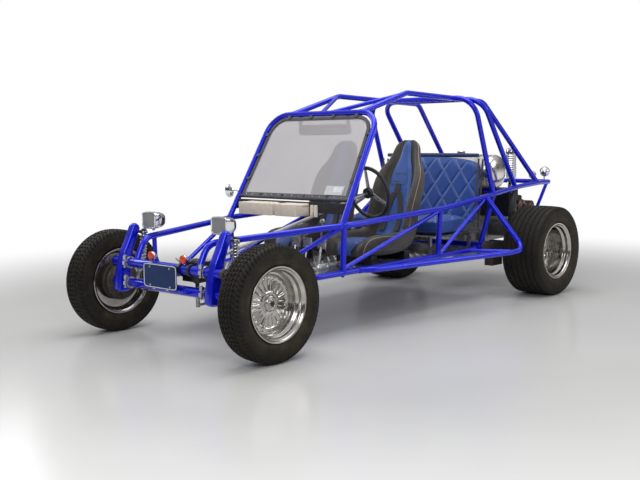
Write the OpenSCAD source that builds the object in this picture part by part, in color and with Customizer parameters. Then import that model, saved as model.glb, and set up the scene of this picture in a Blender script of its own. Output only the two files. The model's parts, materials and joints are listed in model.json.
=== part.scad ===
/* [Overall] */
// Distance between the front and rear axles
wheelbase = 2840; // [2600:10:3100]
// Distance between the middles of the front tyres
track_front = 1404; // [1380:2:1600]
// Distance between the middles of the rear tyres
track_rear = 1430; // [1420:2:1600]
// From the rear axle back to the middle of the tail bar
rear_overhang = 762; // [740:2:900]

/* [Cage] */
// Diameter of the main cage tubes
tube_d = 38; // [32:1:44]
// Diameter of the light cross tubes and braces
brace_d = 28; // [20:1:30]
// Middle of the lower rails above the floor
sill_z = 372; // [350:1:400]
// Middle of the upper rails at the cowl
belt_z = 665; // [640:1:720]
// Middle of the roof rails at the apex
roof_z = 1489; // [1440:1:1600]
// Middle of the windshield hoop's top bar
header_z = 1354; // [1300:1:1400]
// Width between the middles of the upper rails beside the front seats
belt_w = 1060; // [1000:2:1200]
// Width between the middles of the lower rails
sill_w = 1000; // [980:2:1100]
// Width between the middles of the roof rails
roof_w = 616; // [500:2:640]
// Width between the middles of the side bars at their rear corners
side_w = 1600; // [1500:2:1640]
// Bend radius of the cage tubes
bend = 100; // [80:5:120]
// Bend radius at the corners of the hoops
hoop_bend = 150; // [120:5:160]

/* [Wheels] */
// Radius of the front tyres
tyre_r_front = 321; // [300:1:340]
// Width of the front tyres
tyre_w_front = 165; // [155:1:185]
// Radius of the rear tyres
tyre_r_rear = 331; // [320:1:350]
// Width of the rear tyres
tyre_w_rear = 305; // [280:1:320]
// Radius of the rims at the bead seat
rim_r = 190.5; // [180:0.5:192]
// Width of the front rims over the flanges
rim_w_front = 143; // [130:1:150]
// Width of the rear rims over the flanges
rim_w_rear = 272; // [240:1:280]
// Radius of the brake drums
drum_r = 122; // [110:1:125]

/* [Front axle] */
// Radius of the two cross tubes of the axle beam
beam_r = 27; // [24:0.5:29]
// Distance from the front axle line forward to the beam
beam_lead = 140; // [130:1:150]
// Height of the beam's lower tube
beam_z = 355; // [345:1:365]
// Height between the beam's two tubes
beam_rise = 120; // [110:1:130]
// Length of the beam tubes
beam_w = 980; // [960:2:1000]
// Distance between the two steering pivots
kingpin_w = 1200; // [1190:2:1230]
// Length of the steering arms
steer_arm = 120; // [100:1:125]

/* [Body] */
// Width of each front seat
seat_w = 400; // [360:2:410]
// Distance between the middles of the front seats
seat_pitch = 570; // [540:2:580]
// Width of the rear bench
bench_w = 900; // [800:2:920]
// Radius of the fuel tank
tank_r = 132; // [110:1:136]
// Length of the fuel tank over its domed ends
tank_l = 720; // [600:2:760]
// Thickness of the floor plate
floor_t = 3; // [2:0.5:5]
// Radius of the steering wheel
wheel_r = 170; // [150:1:180]
// Radius of the holes in the towing tabs
tow_hole_r = 9; // [6:0.5:11]
// Width of the number plate
plate_w = 305; // [280:1:310]
// Height of the number plate
plate_h = 146; // [120:1:150]

/* [Hidden] */
$fn = 48;

// Clearances: between welded tubes, between pieces that bear on each other, between moving pieces
joint_gap = 0.5;
seat_gap = 0.3;
pin_gap = 0.3;
run_gap = 6;

// How the bends of a tube are joined to its straight lengths
lap = 3;
sleeve = 0.3;
min_arc = 16;

paint = "mediumblue";
steel = "silver";
dark = "dimgray";
rubber = "#222222";

tube_r = tube_d / 2;
brace_r = brace_d / 2;
axle_f = wheelbase / 2;
axle_r = -wheelbase / 2;
tail_x = axle_r - rear_overhang;
centre_x = -(axle_f + tyre_r_front + tail_x - tube_r) / 2;
beam_x = axle_f + beam_lead;
beam_top_z = beam_z + beam_rise;
kingpin_y = kingpin_w / 2;
hub_z = tyre_r_front;
hub_z_rear = tyre_r_rear;

// Stations along the car
nose_x = axle_f - 77;
cowl_x = axle_f - 820;
header_x = cowl_x - 400;
apex_x = cowl_x - 900;
door_x = cowl_x - 980;
hoop_x = axle_r + 330;
rear_hoop_x = axle_r - 60;
stay_x = axle_r - 480;
torsion_x = axle_r + 410;
torsion_r = 38;
tank_x = axle_r + 10;
tank_z = 910;
bench_x = torsion_x + 20;

// Half widths and heights of the cage
nose_y = 285;
nose_z = 622;
belt_y = belt_w / 2;
sill_y = sill_w / 2;
roof_y = roof_w / 2;
side_y = side_w / 2;
tail_y = 370;
tail_z = 803;

function mix(a, b, t) = a + (b - a) * t;
// The point at a station x of the straight length i of a path
function along(x, p, i) = mix(p[i], p[i + 1], (x - p[i][0]) / (p[i + 1][0] - p[i][0]));

// Upper rail of the left side, from the axle beam to the tail: x, y, z
upper_path = [
    [beam_x, nose_y, beam_top_z],
    [axle_f + 70, nose_y, nose_z],
    [cowl_x - 60, belt_y, belt_z],
    [door_x - 60, belt_y, belt_z + 37],
    [hoop_x + 40, belt_y - 30, belt_z + 90],
    [axle_r - 130, belt_y - 87, belt_z + 128],
    [stay_x - 60, tail_y + 24, tail_z + 2],
    [tail_x + 140, tail_y + 15, tail_z],
];

// Lower rail of the left side, from the axle beam to the torsion housing
lower_path = [
    [beam_x, nose_y + 15, beam_z],
    [nose_x, nose_y + 15, beam_z + 5],
    [cowl_x + 220, sill_y, sill_z],
    [torsion_x + 160, sill_y, sill_z],
    [torsion_x, sill_y - 110, sill_z],
];

// Side bar of the left side, out of the lower rail and up to the upper rail
side_path = [
    [cowl_x - 150, sill_y, sill_z],
    [cowl_x - 230, sill_y + 62, sill_z],
    [torsion_x + 150, side_y, sill_z],
    [torsion_x - 10, side_y + 6, sill_z + 6],
    along(torsion_x + 26, upper_path, 3),
];

// Where the hoops and the stays stand on the upper rail
pillar_foot = along(cowl_x + 12, upper_path, 1);
hoop_foot = along(hoop_x - 10, upper_path, 4);
rear_foot = along(rear_hoop_x, upper_path, 4);
stay_foot = along(stay_x, upper_path, 5);

// Roof rail of the left side: the header, the apex, the rear bend and the stay's foot
roof_path = [
    [header_x - 10, roof_y + 3, header_z],
    [apex_x, roof_y, roof_z],
    [hoop_x - 160, roof_y - 6, roof_z - 44],
    stay_foot,
];

// Height of the roof rails at a station behind the apex
function roof_at(x) = roof_z - 44 * (apex_x - x) / (apex_x - roof_path[2][0]);

// The hoops, from the left foot over the top to the right foot: top corner then mirrored
function arch(foot, corner) = [
    foot, corner, [corner[0], -corner[1], corner[2]], [foot[0], -foot[1], foot[2]],
];
windshield_path = arch(pillar_foot, [header_x, pillar_foot[1] - 38, header_z]);
main_top_x = hoop_x + 236;
main_path = arch(hoop_foot, [main_top_x, hoop_foot[1] - 10, roof_at(main_top_x)]);
rear_top_x = hoop_x + 95;
rear_path = arch(rear_foot, [rear_top_x, rear_foot[1] + 12, roof_at(rear_top_x)]);
// The bend of a hoop that the roof rails cross ends short of them
function crossed_bend(p) = min(hoop_bend, p[1][1] - roof_y - tube_r - 12);

// ---- Tubes ----

function unit(v) = v / norm(v);
function turn(p, i) = acos(unit(p[i] - p[i - 1]) * unit(p[i + 1] - p[i]));
// A shallow turn gets a longer radius, so that its arc is never shorter than the laps at its ends
function bend_at(p, i, radius) = max(radius, min_arc / (turn(p, i) * PI / 180));
function setback(p, i, radius) =
    (i == 0 || i == len(p) - 1) ? 0 : bend_at(p, i, radius) * tan(turn(p, i) / 2) - lap;

module rod(a, b, r) {
    d = b - a;
    translate(a) rotate([0, acos(d[2] / norm(d)), atan2(d[1], d[0])]) cylinder(h = norm(d), r = r);
}

module elbow(p, i, r, radius) {
    u = unit(p[i] - p[i - 1]);
    n = unit(cross(u, p[i + 1] - p[i]));
    out = cross(u, n);
    angle = turn(p, i);
    arc_r = bend_at(p, i, radius);
    c = p[i] - u * arc_r * tan(angle / 2) - out * arc_r;
    multmatrix([for (k = [0 : 2]) [out[k], u[k], n[k], c[k]]])
        rotate_extrude(angle = angle) translate([arc_r, 0]) circle(r = r + sleeve);
}

// A tube along a path of straight lengths with an arc at each inner point
module bent_tube(p, r = tube_r, radius = bend) {
    for (i = [0 : len(p) - 2]) {
        u = unit(p[i + 1] - p[i]);
        rod(p[i] + u * setback(p, i, radius), p[i + 1] - u * setback(p, i + 1, radius), r);
    }
    for (i = [1 : 1 : len(p) - 2]) elbow(p, i, r, radius);
}

// The straight lengths alone, a little fat, to cut the fish mouth of a tube that is welded to them
module notch(p, r = tube_r) {
    for (i = [0 : len(p) - 2]) rod(p[i], p[i + 1], r + sleeve + joint_gap);
}

function flip(p) = [p[0], -p[1], p[2]];
function flip_path(p) = [for (q = p) flip(q)];

module both_sides() {
    children();
    mirror([0, 1, 0]) children();
}

// A cylinder along +Y or +X from a point
module post_y(p, r, h) translate(p) rotate([-90, 0, 0]) cylinder(h = h, r = r);
module post_x(p, r, h) translate(p) rotate([0, 90, 0]) cylinder(h = h, r = r);
module block(low, high) translate(low) cube(high - low);

// The whole car stands with the middle of its box over the origin
module car() translate([centre_x, 0, 0]) children();

// ---- Cage ----

module beam_tubes(r) {
    for (z = [beam_z, beam_top_z]) post_y([beam_x, -beam_w / 2, z], r, beam_w);
}

module lower_rails() color(paint) both_sides() difference() {
    bent_tube(lower_path);
    beam_tubes(beam_r + joint_gap);
    post_y([torsion_x, 0, sill_z], torsion_r + joint_gap, sill_y);
}

module side_bars() color(paint) both_sides() {
    difference() {
        bent_tube(side_path, tube_r, 80);
        notch(lower_path);
        notch(upper_path);
    }
    difference() {
        rod(along(torsion_x + 230, lower_path, 2), mix(side_path[2], side_path[3], 0.3), brace_r);
        notch(lower_path);
        notch([side_path[2], side_path[3]]);
    }
}

module upper_rails() color(paint) both_sides() difference() {
    bent_tube(upper_path);
    beam_tubes(beam_r + joint_gap);
}

// The loop that closes the upper rails behind the engine
tail_path = [
    [tail_x + 140 - sleeve - joint_gap, tail_y + 15, tail_z],
    [tail_x, tail_y, tail_z - 3],
    [tail_x, -tail_y, tail_z - 3],
    [tail_x + 140 - sleeve - joint_gap, -tail_y - 15, tail_z],
];
module tail_bar() color(paint) bent_tube(tail_path, tube_r, 90);

module windshield_hoop() color(paint) difference() {
    bent_tube(windshield_path, tube_r, hoop_bend);
    both_sides() notch(upper_path);
}

// The roof rails, and the braces from the middle of the header to both apexes
module roof_rails() color(paint) both_sides() {
    difference() {
        bent_tube(roof_path, tube_r, 120);
        notch(windshield_path);
        notch(upper_path);
    }
    difference() {
        rod([header_x, brace_d, header_z], [apex_x + 20, roof_y, roof_z - 5], brace_r);
        notch(windshield_path);
        notch(roof_path);
    }
}

module main_hoop() color(paint) difference() {
    bent_tube(main_path, tube_r, crossed_bend(main_path));
    both_sides() notch(upper_path);
    both_sides() notch(roof_path);
}

// The rear hoop, and the cross tube that the fuel tank lies on
module rear_hoop() color(paint) {
    difference() {
        bent_tube(rear_path, tube_r, crossed_bend(rear_path));
        both_sides() notch(upper_path);
        both_sides() notch(roof_path);
    }
    difference() {
        post_y([tank_x, -belt_y, tank_z - tank_r - seat_gap - brace_r], brace_r, 2 * belt_y);
        both_sides() notch(upper_path);
        both_sides() translate([tank_x - 100, along(tank_x, upper_path, 4)[1] - 4, 0])
            cube([200, 200, tank_z]);
    }
}

front_foot = [cowl_x, sill_y, sill_z];
front_head = along(cowl_x, upper_path, 1);
door_foot = [door_x - 12, sill_y, sill_z];
door_head = along(door_x, upper_path, 2);
torsion_foot = [torsion_x, sill_y - 62, sill_z];
rear_head = hoop_foot;

module uprights(grow = 0) {
    rod(front_foot, front_head, tube_r + grow);
    rod(door_foot, door_head, tube_r + grow);
    rod(torsion_foot, rear_head, tube_r + grow);
}

module side_uprights() color(paint) both_sides() difference() {
    uprights();
    notch(upper_path);
    notch(lower_path);
    post_y([torsion_x, 0, sill_z], torsion_r + joint_gap, sill_y);
}

module side_diagonals() color(paint) both_sides() difference() {
    union() {
        rod(front_foot + [-14, 0, 25], door_head + [6, 0, -10], brace_r);
        rod(door_foot, along(hoop_x + 90, upper_path, 3), brace_r);
        rod(pillar_foot + [0, -4, -8], along(cowl_x + 645, lower_path, 1), brace_r);
    }
    uprights(joint_gap);
    notch(upper_path);
    notch(lower_path);
    notch(side_path);
}

// Cross tubes and tunnel rails under the floor plate, the bench's cross tubes and the nose posts
module floor_tubes() color(paint) {
    cross_x = [cowl_x, door_x - 12];
    floor_tube_z = sill_z - 12;
    for (x = cross_x) difference() {
        post_y([x, -sill_y, floor_tube_z], brace_r, 2 * sill_y);
        both_sides() notch(lower_path);
        both_sides() uprights(joint_gap);
    }
    both_sides() difference() {
        rod([torsion_x, 85, floor_tube_z], [cowl_x + 560, 85, floor_tube_z], brace_r);
        post_y([torsion_x, 0, sill_z], torsion_r + joint_gap, sill_y);
        for (x = cross_x) post_y([x, 0, floor_tube_z], brace_r + joint_gap, sill_y);
    }
    difference() {
        post_y([cowl_x + 560 + 2 * brace_r + joint_gap, -sill_y, floor_tube_z], brace_r, 2 * sill_y);
        both_sides() notch(lower_path);
        both_sides() translate([cowl_x + 400, along(cowl_x + 560, lower_path, 1)[1], 0])
            cube([300, 200, belt_z]);
    }
    both_sides() difference() {
        rod(along(nose_x + 60, lower_path, 0), along(nose_x + 60, upper_path, 1), brace_r);
        notch(upper_path);
        notch(lower_path);
    }
}

// The U behind and under the engine
guard_path = [
    [tail_x + 82, tail_y + 6, tail_z],
    [tail_x + 120, 310, 600],
    [tail_x + 220, 280, 296],
    [tail_x + 220, -280, 296],
    [tail_x + 120, -310, 600],
    [tail_x + 82, -tail_y - 6, tail_z],
];
module engine_guard() color(paint) difference() {
    bent_tube(guard_path, brace_r, 60);
    notch(tail_path);
}

// Floor plate on the cross tubes, and the pan that the rear bench stands on
floor_top = sill_z + 2 + seat_gap + floor_t;
bench_tube_z = 480;
bench_pan_z = bench_tube_z + brace_r + seat_gap;
module floor_pan() color("lightgray") {
    inner = sill_y - tube_r - 3;
    nose_inner = along(cowl_x + 500, lower_path, 1)[1] - tube_r - 8;
    translate([0, 0, floor_top - floor_t]) linear_extrude(floor_t) polygon([
        [torsion_x + 60, -inner + 112], [torsion_x + 205, -inner], [cowl_x + 180, -inner],
        [cowl_x + 500, -nose_inner], [cowl_x + 500, nose_inner], [cowl_x + 180, inner],
        [torsion_x + 205, inner], [torsion_x + 60, inner - 112],
    ]);
    difference() {
        translate([bench_x - 60, -bench_w / 2, bench_pan_z]) cube([640, bench_w, floor_t]);
        both_sides() uprights(1);
    }
    for (x = [door_x - 60, torsion_x + 90]) difference() {
        block([x - 10, -bench_w / 2 + 40, floor_top + seat_gap],
            [x + 10, bench_w / 2 - 40, bench_pan_z - seat_gap]);
        block([x - 20, -bench_w / 2 + 60, floor_top - 1],
            [x + 20, bench_w / 2 - 60, bench_pan_z - 30]);
    }
}

// ---- Front axle ----

tower_y = 380;
tower_t = 70;
boss_t = 30;

// Beam tubes, and the flat towing tabs welded to the lower one
tab_x = beam_x + beam_r + 22;
tab_y = 230;
tab_t = 10;
module front_beam() color(paint) {
    beam_tubes(beam_r);
    both_sides() difference() {
        union() {
            translate([tab_x, tab_y, beam_z - tab_t / 2]) cylinder(h = tab_t, r = 20);
            block([beam_x, tab_y - 20, beam_z - tab_t / 2], [tab_x, tab_y + 20, beam_z + tab_t / 2]);
        }
        translate([tab_x, tab_y, beam_z - tab_t]) cylinder(h = 2 * tab_t, r = tow_hole_r);
        post_y([beam_x, 0, beam_z], beam_r + joint_gap, beam_w);
    }
}

// Shock towers: plates that the beam tubes pass through. Side outline as x, z from the beam tube
tower_outline = [
    [60, -62], [30, -66], [-32, -62], [-62, 150], [-126, 318], [-120, 338],
    [-100, 347], [-80, 342], [-68, 326], [40, 130],
];
module shock_towers() color(paint) both_sides() difference() {
    translate([beam_x, tower_y + tower_t, beam_z]) rotate([90, 0, 0])
        linear_extrude(tower_t) polygon(tower_outline);
    beam_tubes(beam_r + joint_gap);
}

// Trailing arms: a boss at the beam's end, the arm, and the lug that holds the kingpin
lug_r = 17;
lug_h = 26;
pin_r = 9;
pivot_half = 62;
lug_gap = 11;
lug_reach = pivot_half + lug_gap;
arm_r = 12;
// Each arm: height at the beam, height of the lug's middle, and where the arm meets the lug
arm_rows = [
    [beam_top_z, hub_z + lug_reach + lug_h / 2, 6],
    [beam_z, hub_z - lug_reach - lug_h / 2, -6],
];
function arm_at(row, t) = mix(
    [beam_x, beam_w / 2 + seat_gap + boss_t / 2, row[0]], [axle_f, kingpin_y, row[1] + row[2]], t
);
damper_pin = [arm_at(arm_rows[1], 0.43), [axle_f + 25, tower_y + 66, hub_z - 18]];
module front_arms() color(dark) both_sides() {
    for (row = arm_rows) difference() {
        union() {
            post_y([beam_x, beam_w / 2 + seat_gap, row[0]], beam_r + 5, boss_t);
            rod(arm_at(row, 0), arm_at(row, 1), arm_r);
            translate([axle_f, kingpin_y, row[1] - lug_h / 2]) cylinder(h = lug_h, r = lug_r);
            if (row[0] == beam_z) rod(damper_pin[0], damper_pin[1], 8);
        }
        translate([axle_f, kingpin_y, row[1] - lug_h]) cylinder(h = 2 * lug_h, r = pin_r + pin_gap);
    }
}

// Coil-over shocks: a closed body for the spring, and the damper below it
shock_head = [axle_f - 22, tower_y + 35, beam_z + 290];
shock_mid = [axle_f - 6, tower_y + 42, beam_z + 105];
shock_foot = mix(damper_pin[0], damper_pin[1], 0.85);
module front_shocks() color(steel) both_sides() difference() {
    union() {
        rod(shock_head, shock_mid, 25);
        rod(mix(shock_mid, shock_head, 0.1), shock_foot, 10);
        rod(shock_head, shock_head + [60, 0, 0], 9);
    }
    rod(damper_pin[0], damper_pin[1], 8 + seat_gap);
    translate([beam_x, tower_y + tower_t + 1, beam_z]) rotate([90, 0, 0])
        linear_extrude(tower_t + 2) translate([-seat_gap, 0]) polygon(tower_outline);
}

// Steering box clamped behind the beam, with its input shaft's collar
box_low = [beam_x - beam_r - 95, 110, beam_top_z - 72];
box_high = [beam_x - beam_r - seat_gap, 255, beam_top_z + 40];
module steering_box() color("#26282b") {
    block(box_low, box_high);
    // Clamps round the upper beam tube
    for (y = [box_low[1] + 30, box_high[1] - 30]) difference() {
        post_y([beam_x, y - 12, beam_top_z], beam_r + 8, 24);
        post_y([beam_x, y - 13, beam_top_z], beam_r + seat_gap, 26);
        translate([box_high[0] - 50 + seat_gap, y - 20, box_low[2]]) cube([50, 40, 200]);
    }
}

// Kingpin, spindle, backing plate and steering arm, built for the left side
spindle_r = 20;
drum_in_y = kingpin_y + 36;
arm_z = hub_z - 34;
spindle_l = 78;
tie_x = axle_f - steer_arm;
eye_h = 22;
tie_z = arm_z - eye_h - 2 * seat_gap;
module knuckle() color(dark) difference() {
    union() {
        translate([axle_f, kingpin_y, hub_z - pivot_half]) cylinder(h = 2 * pivot_half, r = 17);
        translate([axle_f, kingpin_y, hub_z - lug_reach - lug_h + 2])
            cylinder(h = 2 * (lug_reach + lug_h - 2), r = pin_r);
        post_y([axle_f, kingpin_y, hub_z], spindle_r, spindle_l);
        post_y([axle_f, kingpin_y + 23, hub_z], drum_r - 5, 7);
        rod([axle_f, kingpin_y, arm_z], [tie_x, kingpin_y - 15, arm_z], 9);
        translate([tie_x, kingpin_y - 15, arm_z - eye_h / 2]) cylinder(h = eye_h, r = 14);
    }
    translate([tie_x, kingpin_y - 15, arm_z - eye_h]) cylinder(h = 2 * eye_h, r = 6);
}
module knuckle_left() knuckle();
module knuckle_right() mirror([0, 1, 0]) knuckle();

// Tie rods below the steering arms, with the drop arm under the steering box
drop_y = (box_low[1] + box_high[1]) / 2;
drop_x = (box_low[0] + box_high[0]) / 2;
module tie_rods() color(steel) {
    post_y([tie_x, -kingpin_y + 15, tie_z], 9, 2 * kingpin_y - 30);
    for (s = [-1, 1]) translate([tie_x, s * (kingpin_y - 15), tie_z - eye_h / 2])
        cylinder(h = eye_h, r = 13);
    rod([tie_x, drop_y, tie_z], [drop_x, drop_y, tie_z], 7.5);
    translate([drop_x, drop_y, tie_z - 12]) cylinder(h = box_low[2] - run_gap - tie_z + 12, r = 12);
}

// ---- Wheels, built along +Y with the outside of the car at +Y ----

// Rim section: r, y. The disc stands at y = disc, and the hub hole is left for the spindle
function rim_section(w, disc) = [
    [rim_r + 17, w / 2], [rim_r + 17, w / 2 - 5], [rim_r + 4, w / 2 - 10], [rim_r, w / 2 - 14],
    [rim_r, w / 2 - 38], [rim_r - 14, w / 2 - 50], [rim_r - 14, -w / 2 + 50],
    [rim_r, -w / 2 + 38], [rim_r, -w / 2 + 14], [rim_r + 4, -w / 2 + 10],
    [rim_r + 17, -w / 2 + 5], [rim_r + 17, -w / 2], [rim_r + 8, -w / 2],
    [rim_r - 6, -w / 2 + 12], [rim_r - 6, -w / 2 + 36], [rim_r - 20, -w / 2 + 50],
    [rim_r - 20, disc - 14], [rim_r - 34, disc - 10], [spindle_r + 24, disc - 2],
    [spindle_r + 24, disc + 6], [rim_r - 36, disc - 4], [rim_r - 20, disc - 6],
    [rim_r - 20, w / 2 - 50], [rim_r - 6, w / 2 - 36], [rim_r - 6, w / 2 - 12], [rim_r + 8, w / 2],
];

// Tyre section: half of it, from the bead to the crown, then mirrored
function half_tyre(r, w, rim_w) = [
    [rim_r + 0.8, rim_w / 2 - 14.5], [rim_r + 17, rim_w / 2 - 13], [rim_r + 24, w / 2 - 10],
    [rim_r + 45, w / 2 - 2], [rim_r + 64, w / 2], [r - 32, w / 2 - 3], [r - 14, w / 2 - 12],
    [r - 4, w / 2 - 24], [r, w / 2 - 40],
];
function tyre_section(r, w, rim_w) = let(h = half_tyre(r, w, rim_w), n = len(h)) concat(
    h, [for (i = [n - 1 : -1 : 0]) [h[i][0], -h[i][1]]]
);

module lathe_y(section) rotate([-90, 0, 0]) rotate_extrude() polygon(section);

// A wheel with its brake drum and hub: place is the middle of the tyre, side +1 left and -1 right
module rim_and_drum(w, disc, drum_y0, drum_y1, hub_y) {
    lathe_y(rim_section(w, disc));
    difference() {
        union() {
            post_y([0, drum_y0, 0], drum_r, drum_y1 - drum_y0);
            post_y([0, drum_y1 - 1, 0], spindle_r + 23.7, hub_y - drum_y1 + 1);
        }
        post_y([0, drum_y0 - 1, 0], spindle_r + pin_gap, kingpin_y + spindle_l - track_front / 2 - drum_y0 + 3);
    }
}

module at_wheel(axle, track, r, side)
    translate([axle, side * track / 2, r]) mirror([0, side < 0 ? 1 : 0, 0]) children();

disc_front = -8;
disc_rear = -36;
module front_rim(side) color("lightgray") at_wheel(axle_f, track_front, tyre_r_front, side)
    rim_and_drum(rim_w_front, disc_front, drum_in_y - track_front / 2, disc_front - 14.5, disc_front + 22);

// The rear wheel carries its stub shaft, which runs in the axle tube
rear_stub_y = 205;
module rear_rim(side) color("lightgray") at_wheel(axle_r, track_rear, tyre_r_rear, side) {
    lathe_y(rim_section(rim_w_rear, disc_rear));
    post_y([0, -140, 0], drum_r, 140 + disc_rear - 14.5);
    post_y([0, disc_rear - 15, 0], spindle_r + 23.7, 40);
    post_y([0, -rear_stub_y, 0], spindle_r, rear_stub_y - 139);
}

module rim_front_left() front_rim(1);
module rim_front_right() front_rim(-1);
module rim_rear_left() rear_rim(1);
module rim_rear_right() rear_rim(-1);

module tyre(axle, track, r, w, rim_w, side) color(rubber) at_wheel(axle, track, r, side)
    lathe_y(tyre_section(r, w, rim_w));
module tyre_front_left() tyre(axle_f, track_front, tyre_r_front, tyre_w_front, rim_w_front, 1);
module tyre_front_right() tyre(axle_f, track_front, tyre_r_front, tyre_w_front, rim_w_front, -1);
module tyre_rear_left() tyre(axle_r, track_rear, tyre_r_rear, tyre_w_rear, rim_w_rear, 1);
module tyre_rear_right() tyre(axle_r, track_rear, tyre_r_rear, tyre_w_rear, rim_w_rear, -1);

// ---- Rear axle and engine ----

axle_tube_r = 32;
housing_y = track_rear / 2 - 140 - run_gap - 60;
module torsion_housing() color(paint) {
    post_y([torsion_x, -sill_y + 20, sill_z], torsion_r, 2 * sill_y - 40);
}

// Spring plates beside the torsion housing, and the black bump stops under them
plate_y = sill_y - 20 + seat_gap;
module rear_arms() color(dark) both_sides() {
    difference() {
        hull() {
            post_y([torsion_x, plate_y, sill_z], 48, 10);
            post_y([axle_r, plate_y, hub_z_rear], 50, 10);
        }
        post_y([axle_r, plate_y - 1, hub_z_rear], axle_tube_r + seat_gap, 12);
    }
    block([torsion_x - 240, plate_y - 70, 222], [torsion_x - 105, plate_y - seat_gap, 330]);
}

module rear_shocks() color(dark) both_sides() difference() {
    union() {
        rod([axle_r - 20, belt_y - 75, 740], [axle_r - 8, belt_y - 80, 520], 27);
        rod([axle_r - 20, belt_y - 75, belt_z + 125], [axle_r, belt_y - 80, hub_z_rear], 11);
    }
    notch(upper_path);
    post_y([axle_r, 0, hub_z_rear], axle_tube_r + seat_gap, belt_y);
}

// Gearbox: nose, case, side plates, bell housing and the two axle tubes with their bearings
engine_x = axle_r - 140;
module transaxle() color("lightslategray") {
    nose_end = torsion_x - torsion_r - seat_gap;
    difference() {
        union() {
            post_x([axle_r + 100, 0, hub_z_rear + 10], 62, nose_end - axle_r - 100);
            block([axle_r - 90, -105, hub_z_rear - 95], [axle_r + 130, 105, hub_z_rear + 95]);
            post_x([engine_x + seat_gap, 0, hub_z_rear + 30], 165, 60);
        }
        post_y([torsion_x, -200, sill_z], torsion_r + seat_gap, 400);
    }
    both_sides() difference() {
        union() {
            post_y([axle_r, 105 + seat_gap, hub_z_rear], axle_tube_r, housing_y - 105);
            post_y([axle_r, housing_y, hub_z_rear], 52, 60);
        }
        post_y([axle_r, housing_y - 30, hub_z_rear], spindle_r + pin_gap, 120);
    }
}

// Crankcase, the two finned banks of cylinders and the pulley
module engine_case() color("gray") {
    block([engine_x - 400, -130, 345], [engine_x, 130, 545]);
    post_x([engine_x - 425, 0, 450], 85, 24.7);
    both_sides() block([engine_x - 370, 130 + seat_gap, 385], [engine_x - 30, 372, 505]);
}

module fan_shroud() color("#26282b") {
    difference() {
        block([engine_x - 190, -320, 545 + seat_gap], [engine_x - 60, 320, 770]);
        both_sides() translate([engine_x - 200, 330, 545]) rotate([0, -28, 0]) translate([-100, 0, 0])
            cube([300, 10, 300]);
    }
    block([engine_x - 385, 120, 545 + seat_gap], [engine_x - 255, 240, 700]);
}

// Carburettor stack with its domed lid
stack_x = engine_x - 320;
stack_y = 170;
module air_cleaner() color(steel) {
    translate([stack_x, stack_y, 700 + seat_gap]) cylinder(h = 140, r = 30);
    translate([stack_x, stack_y, 840.6]) cylinder(h = 215, r = 44);
    translate([stack_x, stack_y, 1055.9]) intersection() {
        translate([0, 0, -30]) sphere(r = 62);
        cylinder(h = 40, r = 44);
    }
}

// Header pipes from the banks to the silencer across the tail. Each pipe of the left side: x, y, z
silencer = [engine_x - 470, 272, 600];
silencer_r = 50;
port = [engine_x - 90, 372 + seat_gap, 440];
header_pipes = [
    [
        port, port + [0, 55, 0], port + [40, 28, 180], port + [-90, -20, 225],
        [silencer[0], 225, silencer[2]],
    ],
    [
        port - [220, 0, 0], port + [-220, 55, 0], port + [-265, 35, 80],
        [silencer[0], 130, silencer[2] - 12],
    ],
];
module exhaust() color("darkgoldenrod") {
    both_sides() for (p = header_pipes) difference() {
        bent_tube(p, 17, 38);
        post_y([silencer[0], -silencer[1], silencer[2]], silencer_r + seat_gap, 2 * silencer[1]);
    }
    post_y([silencer[0], -silencer[1], silencer[2]], silencer_r, 2 * silencer[1]);
}

// Spun tank with domed ends and its filler neck
dome_r = 200;
dome_h = dome_r - sqrt(dome_r * dome_r - tank_r * tank_r);
module fuel_tank() color("gainsboro") {
    post_y([tank_x, dome_h - tank_l / 2, tank_z], tank_r, tank_l - 2 * dome_h);
    both_sides() intersection() {
        translate([tank_x, tank_l / 2 - dome_r, tank_z]) sphere(r = dome_r);
        post_y([tank_x, tank_l / 2 - dome_h - 1, tank_z], tank_r - 0.3, dome_h + 2);
    }
    translate([tank_x, 0, tank_z + tank_r - 10]) cylinder(h = 30, r = 30);
}

// ---- Cabin ----

// The steering shaft: its end at the steering box, and the middle of the wheel
shaft = [[box_low[0] - 1.4 * run_gap, 192, beam_top_z + 28], [cowl_x - 570, 240, 825]];
shaft_r = 9.5;

// Panel plane: from the pillars at the lower bar up to the header
panel_foot = mix(windshield_path[0], windshield_path[1], 0.215);
panel_lean = atan2(panel_foot[0] - header_x, header_z - panel_foot[2]);
panel_h = norm([panel_foot[0] - header_x, header_z - panel_foot[2]]) - tube_r - 8;
panel_low = panel_foot[1] - tube_r - 6;
panel_high = windshield_path[1][1] - tube_r - 4;
corner = hoop_bend - tube_r - 4;
arc_steps = 6;
// Outline across and up the panel, inset by some distance, with round upper corners
function panel_outline(inset) = let(
    top = panel_h - inset, r = corner - inset, right = [
        [panel_low - inset, 5 + inset],
        for (i = [0 : arc_steps]) let(a = 90 * i / arc_steps)
            [panel_high - inset - r + r * cos(a), top - r + r * sin(a)],
    ], n = len(right)
) concat(right, [for (i = [n - 1 : -1 : 0]) [-right[i][0], right[i][1]]]);

module on_panel(thickness) translate([panel_foot[0], 0, panel_foot[2]]) rotate([0, -panel_lean, 0])
    translate([-thickness / 2, 0, 0]) rotate([90, 0, 90]) linear_extrude(thickness) children();

frame_inset = 22;
module windshield_frame() color("#3a3b3e") difference() {
    union() {
        rod([panel_foot[0], -panel_foot[1], panel_foot[2]], panel_foot, brace_r - 1);
        on_panel(14) difference() {
            polygon(panel_outline(0));
            polygon(panel_outline(frame_inset));
        }
    }
    notch(windshield_path);
}
module windshield_pane() color("lightgray", 0.4) on_panel(4) polygon(panel_outline(frame_inset + seat_gap));

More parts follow.
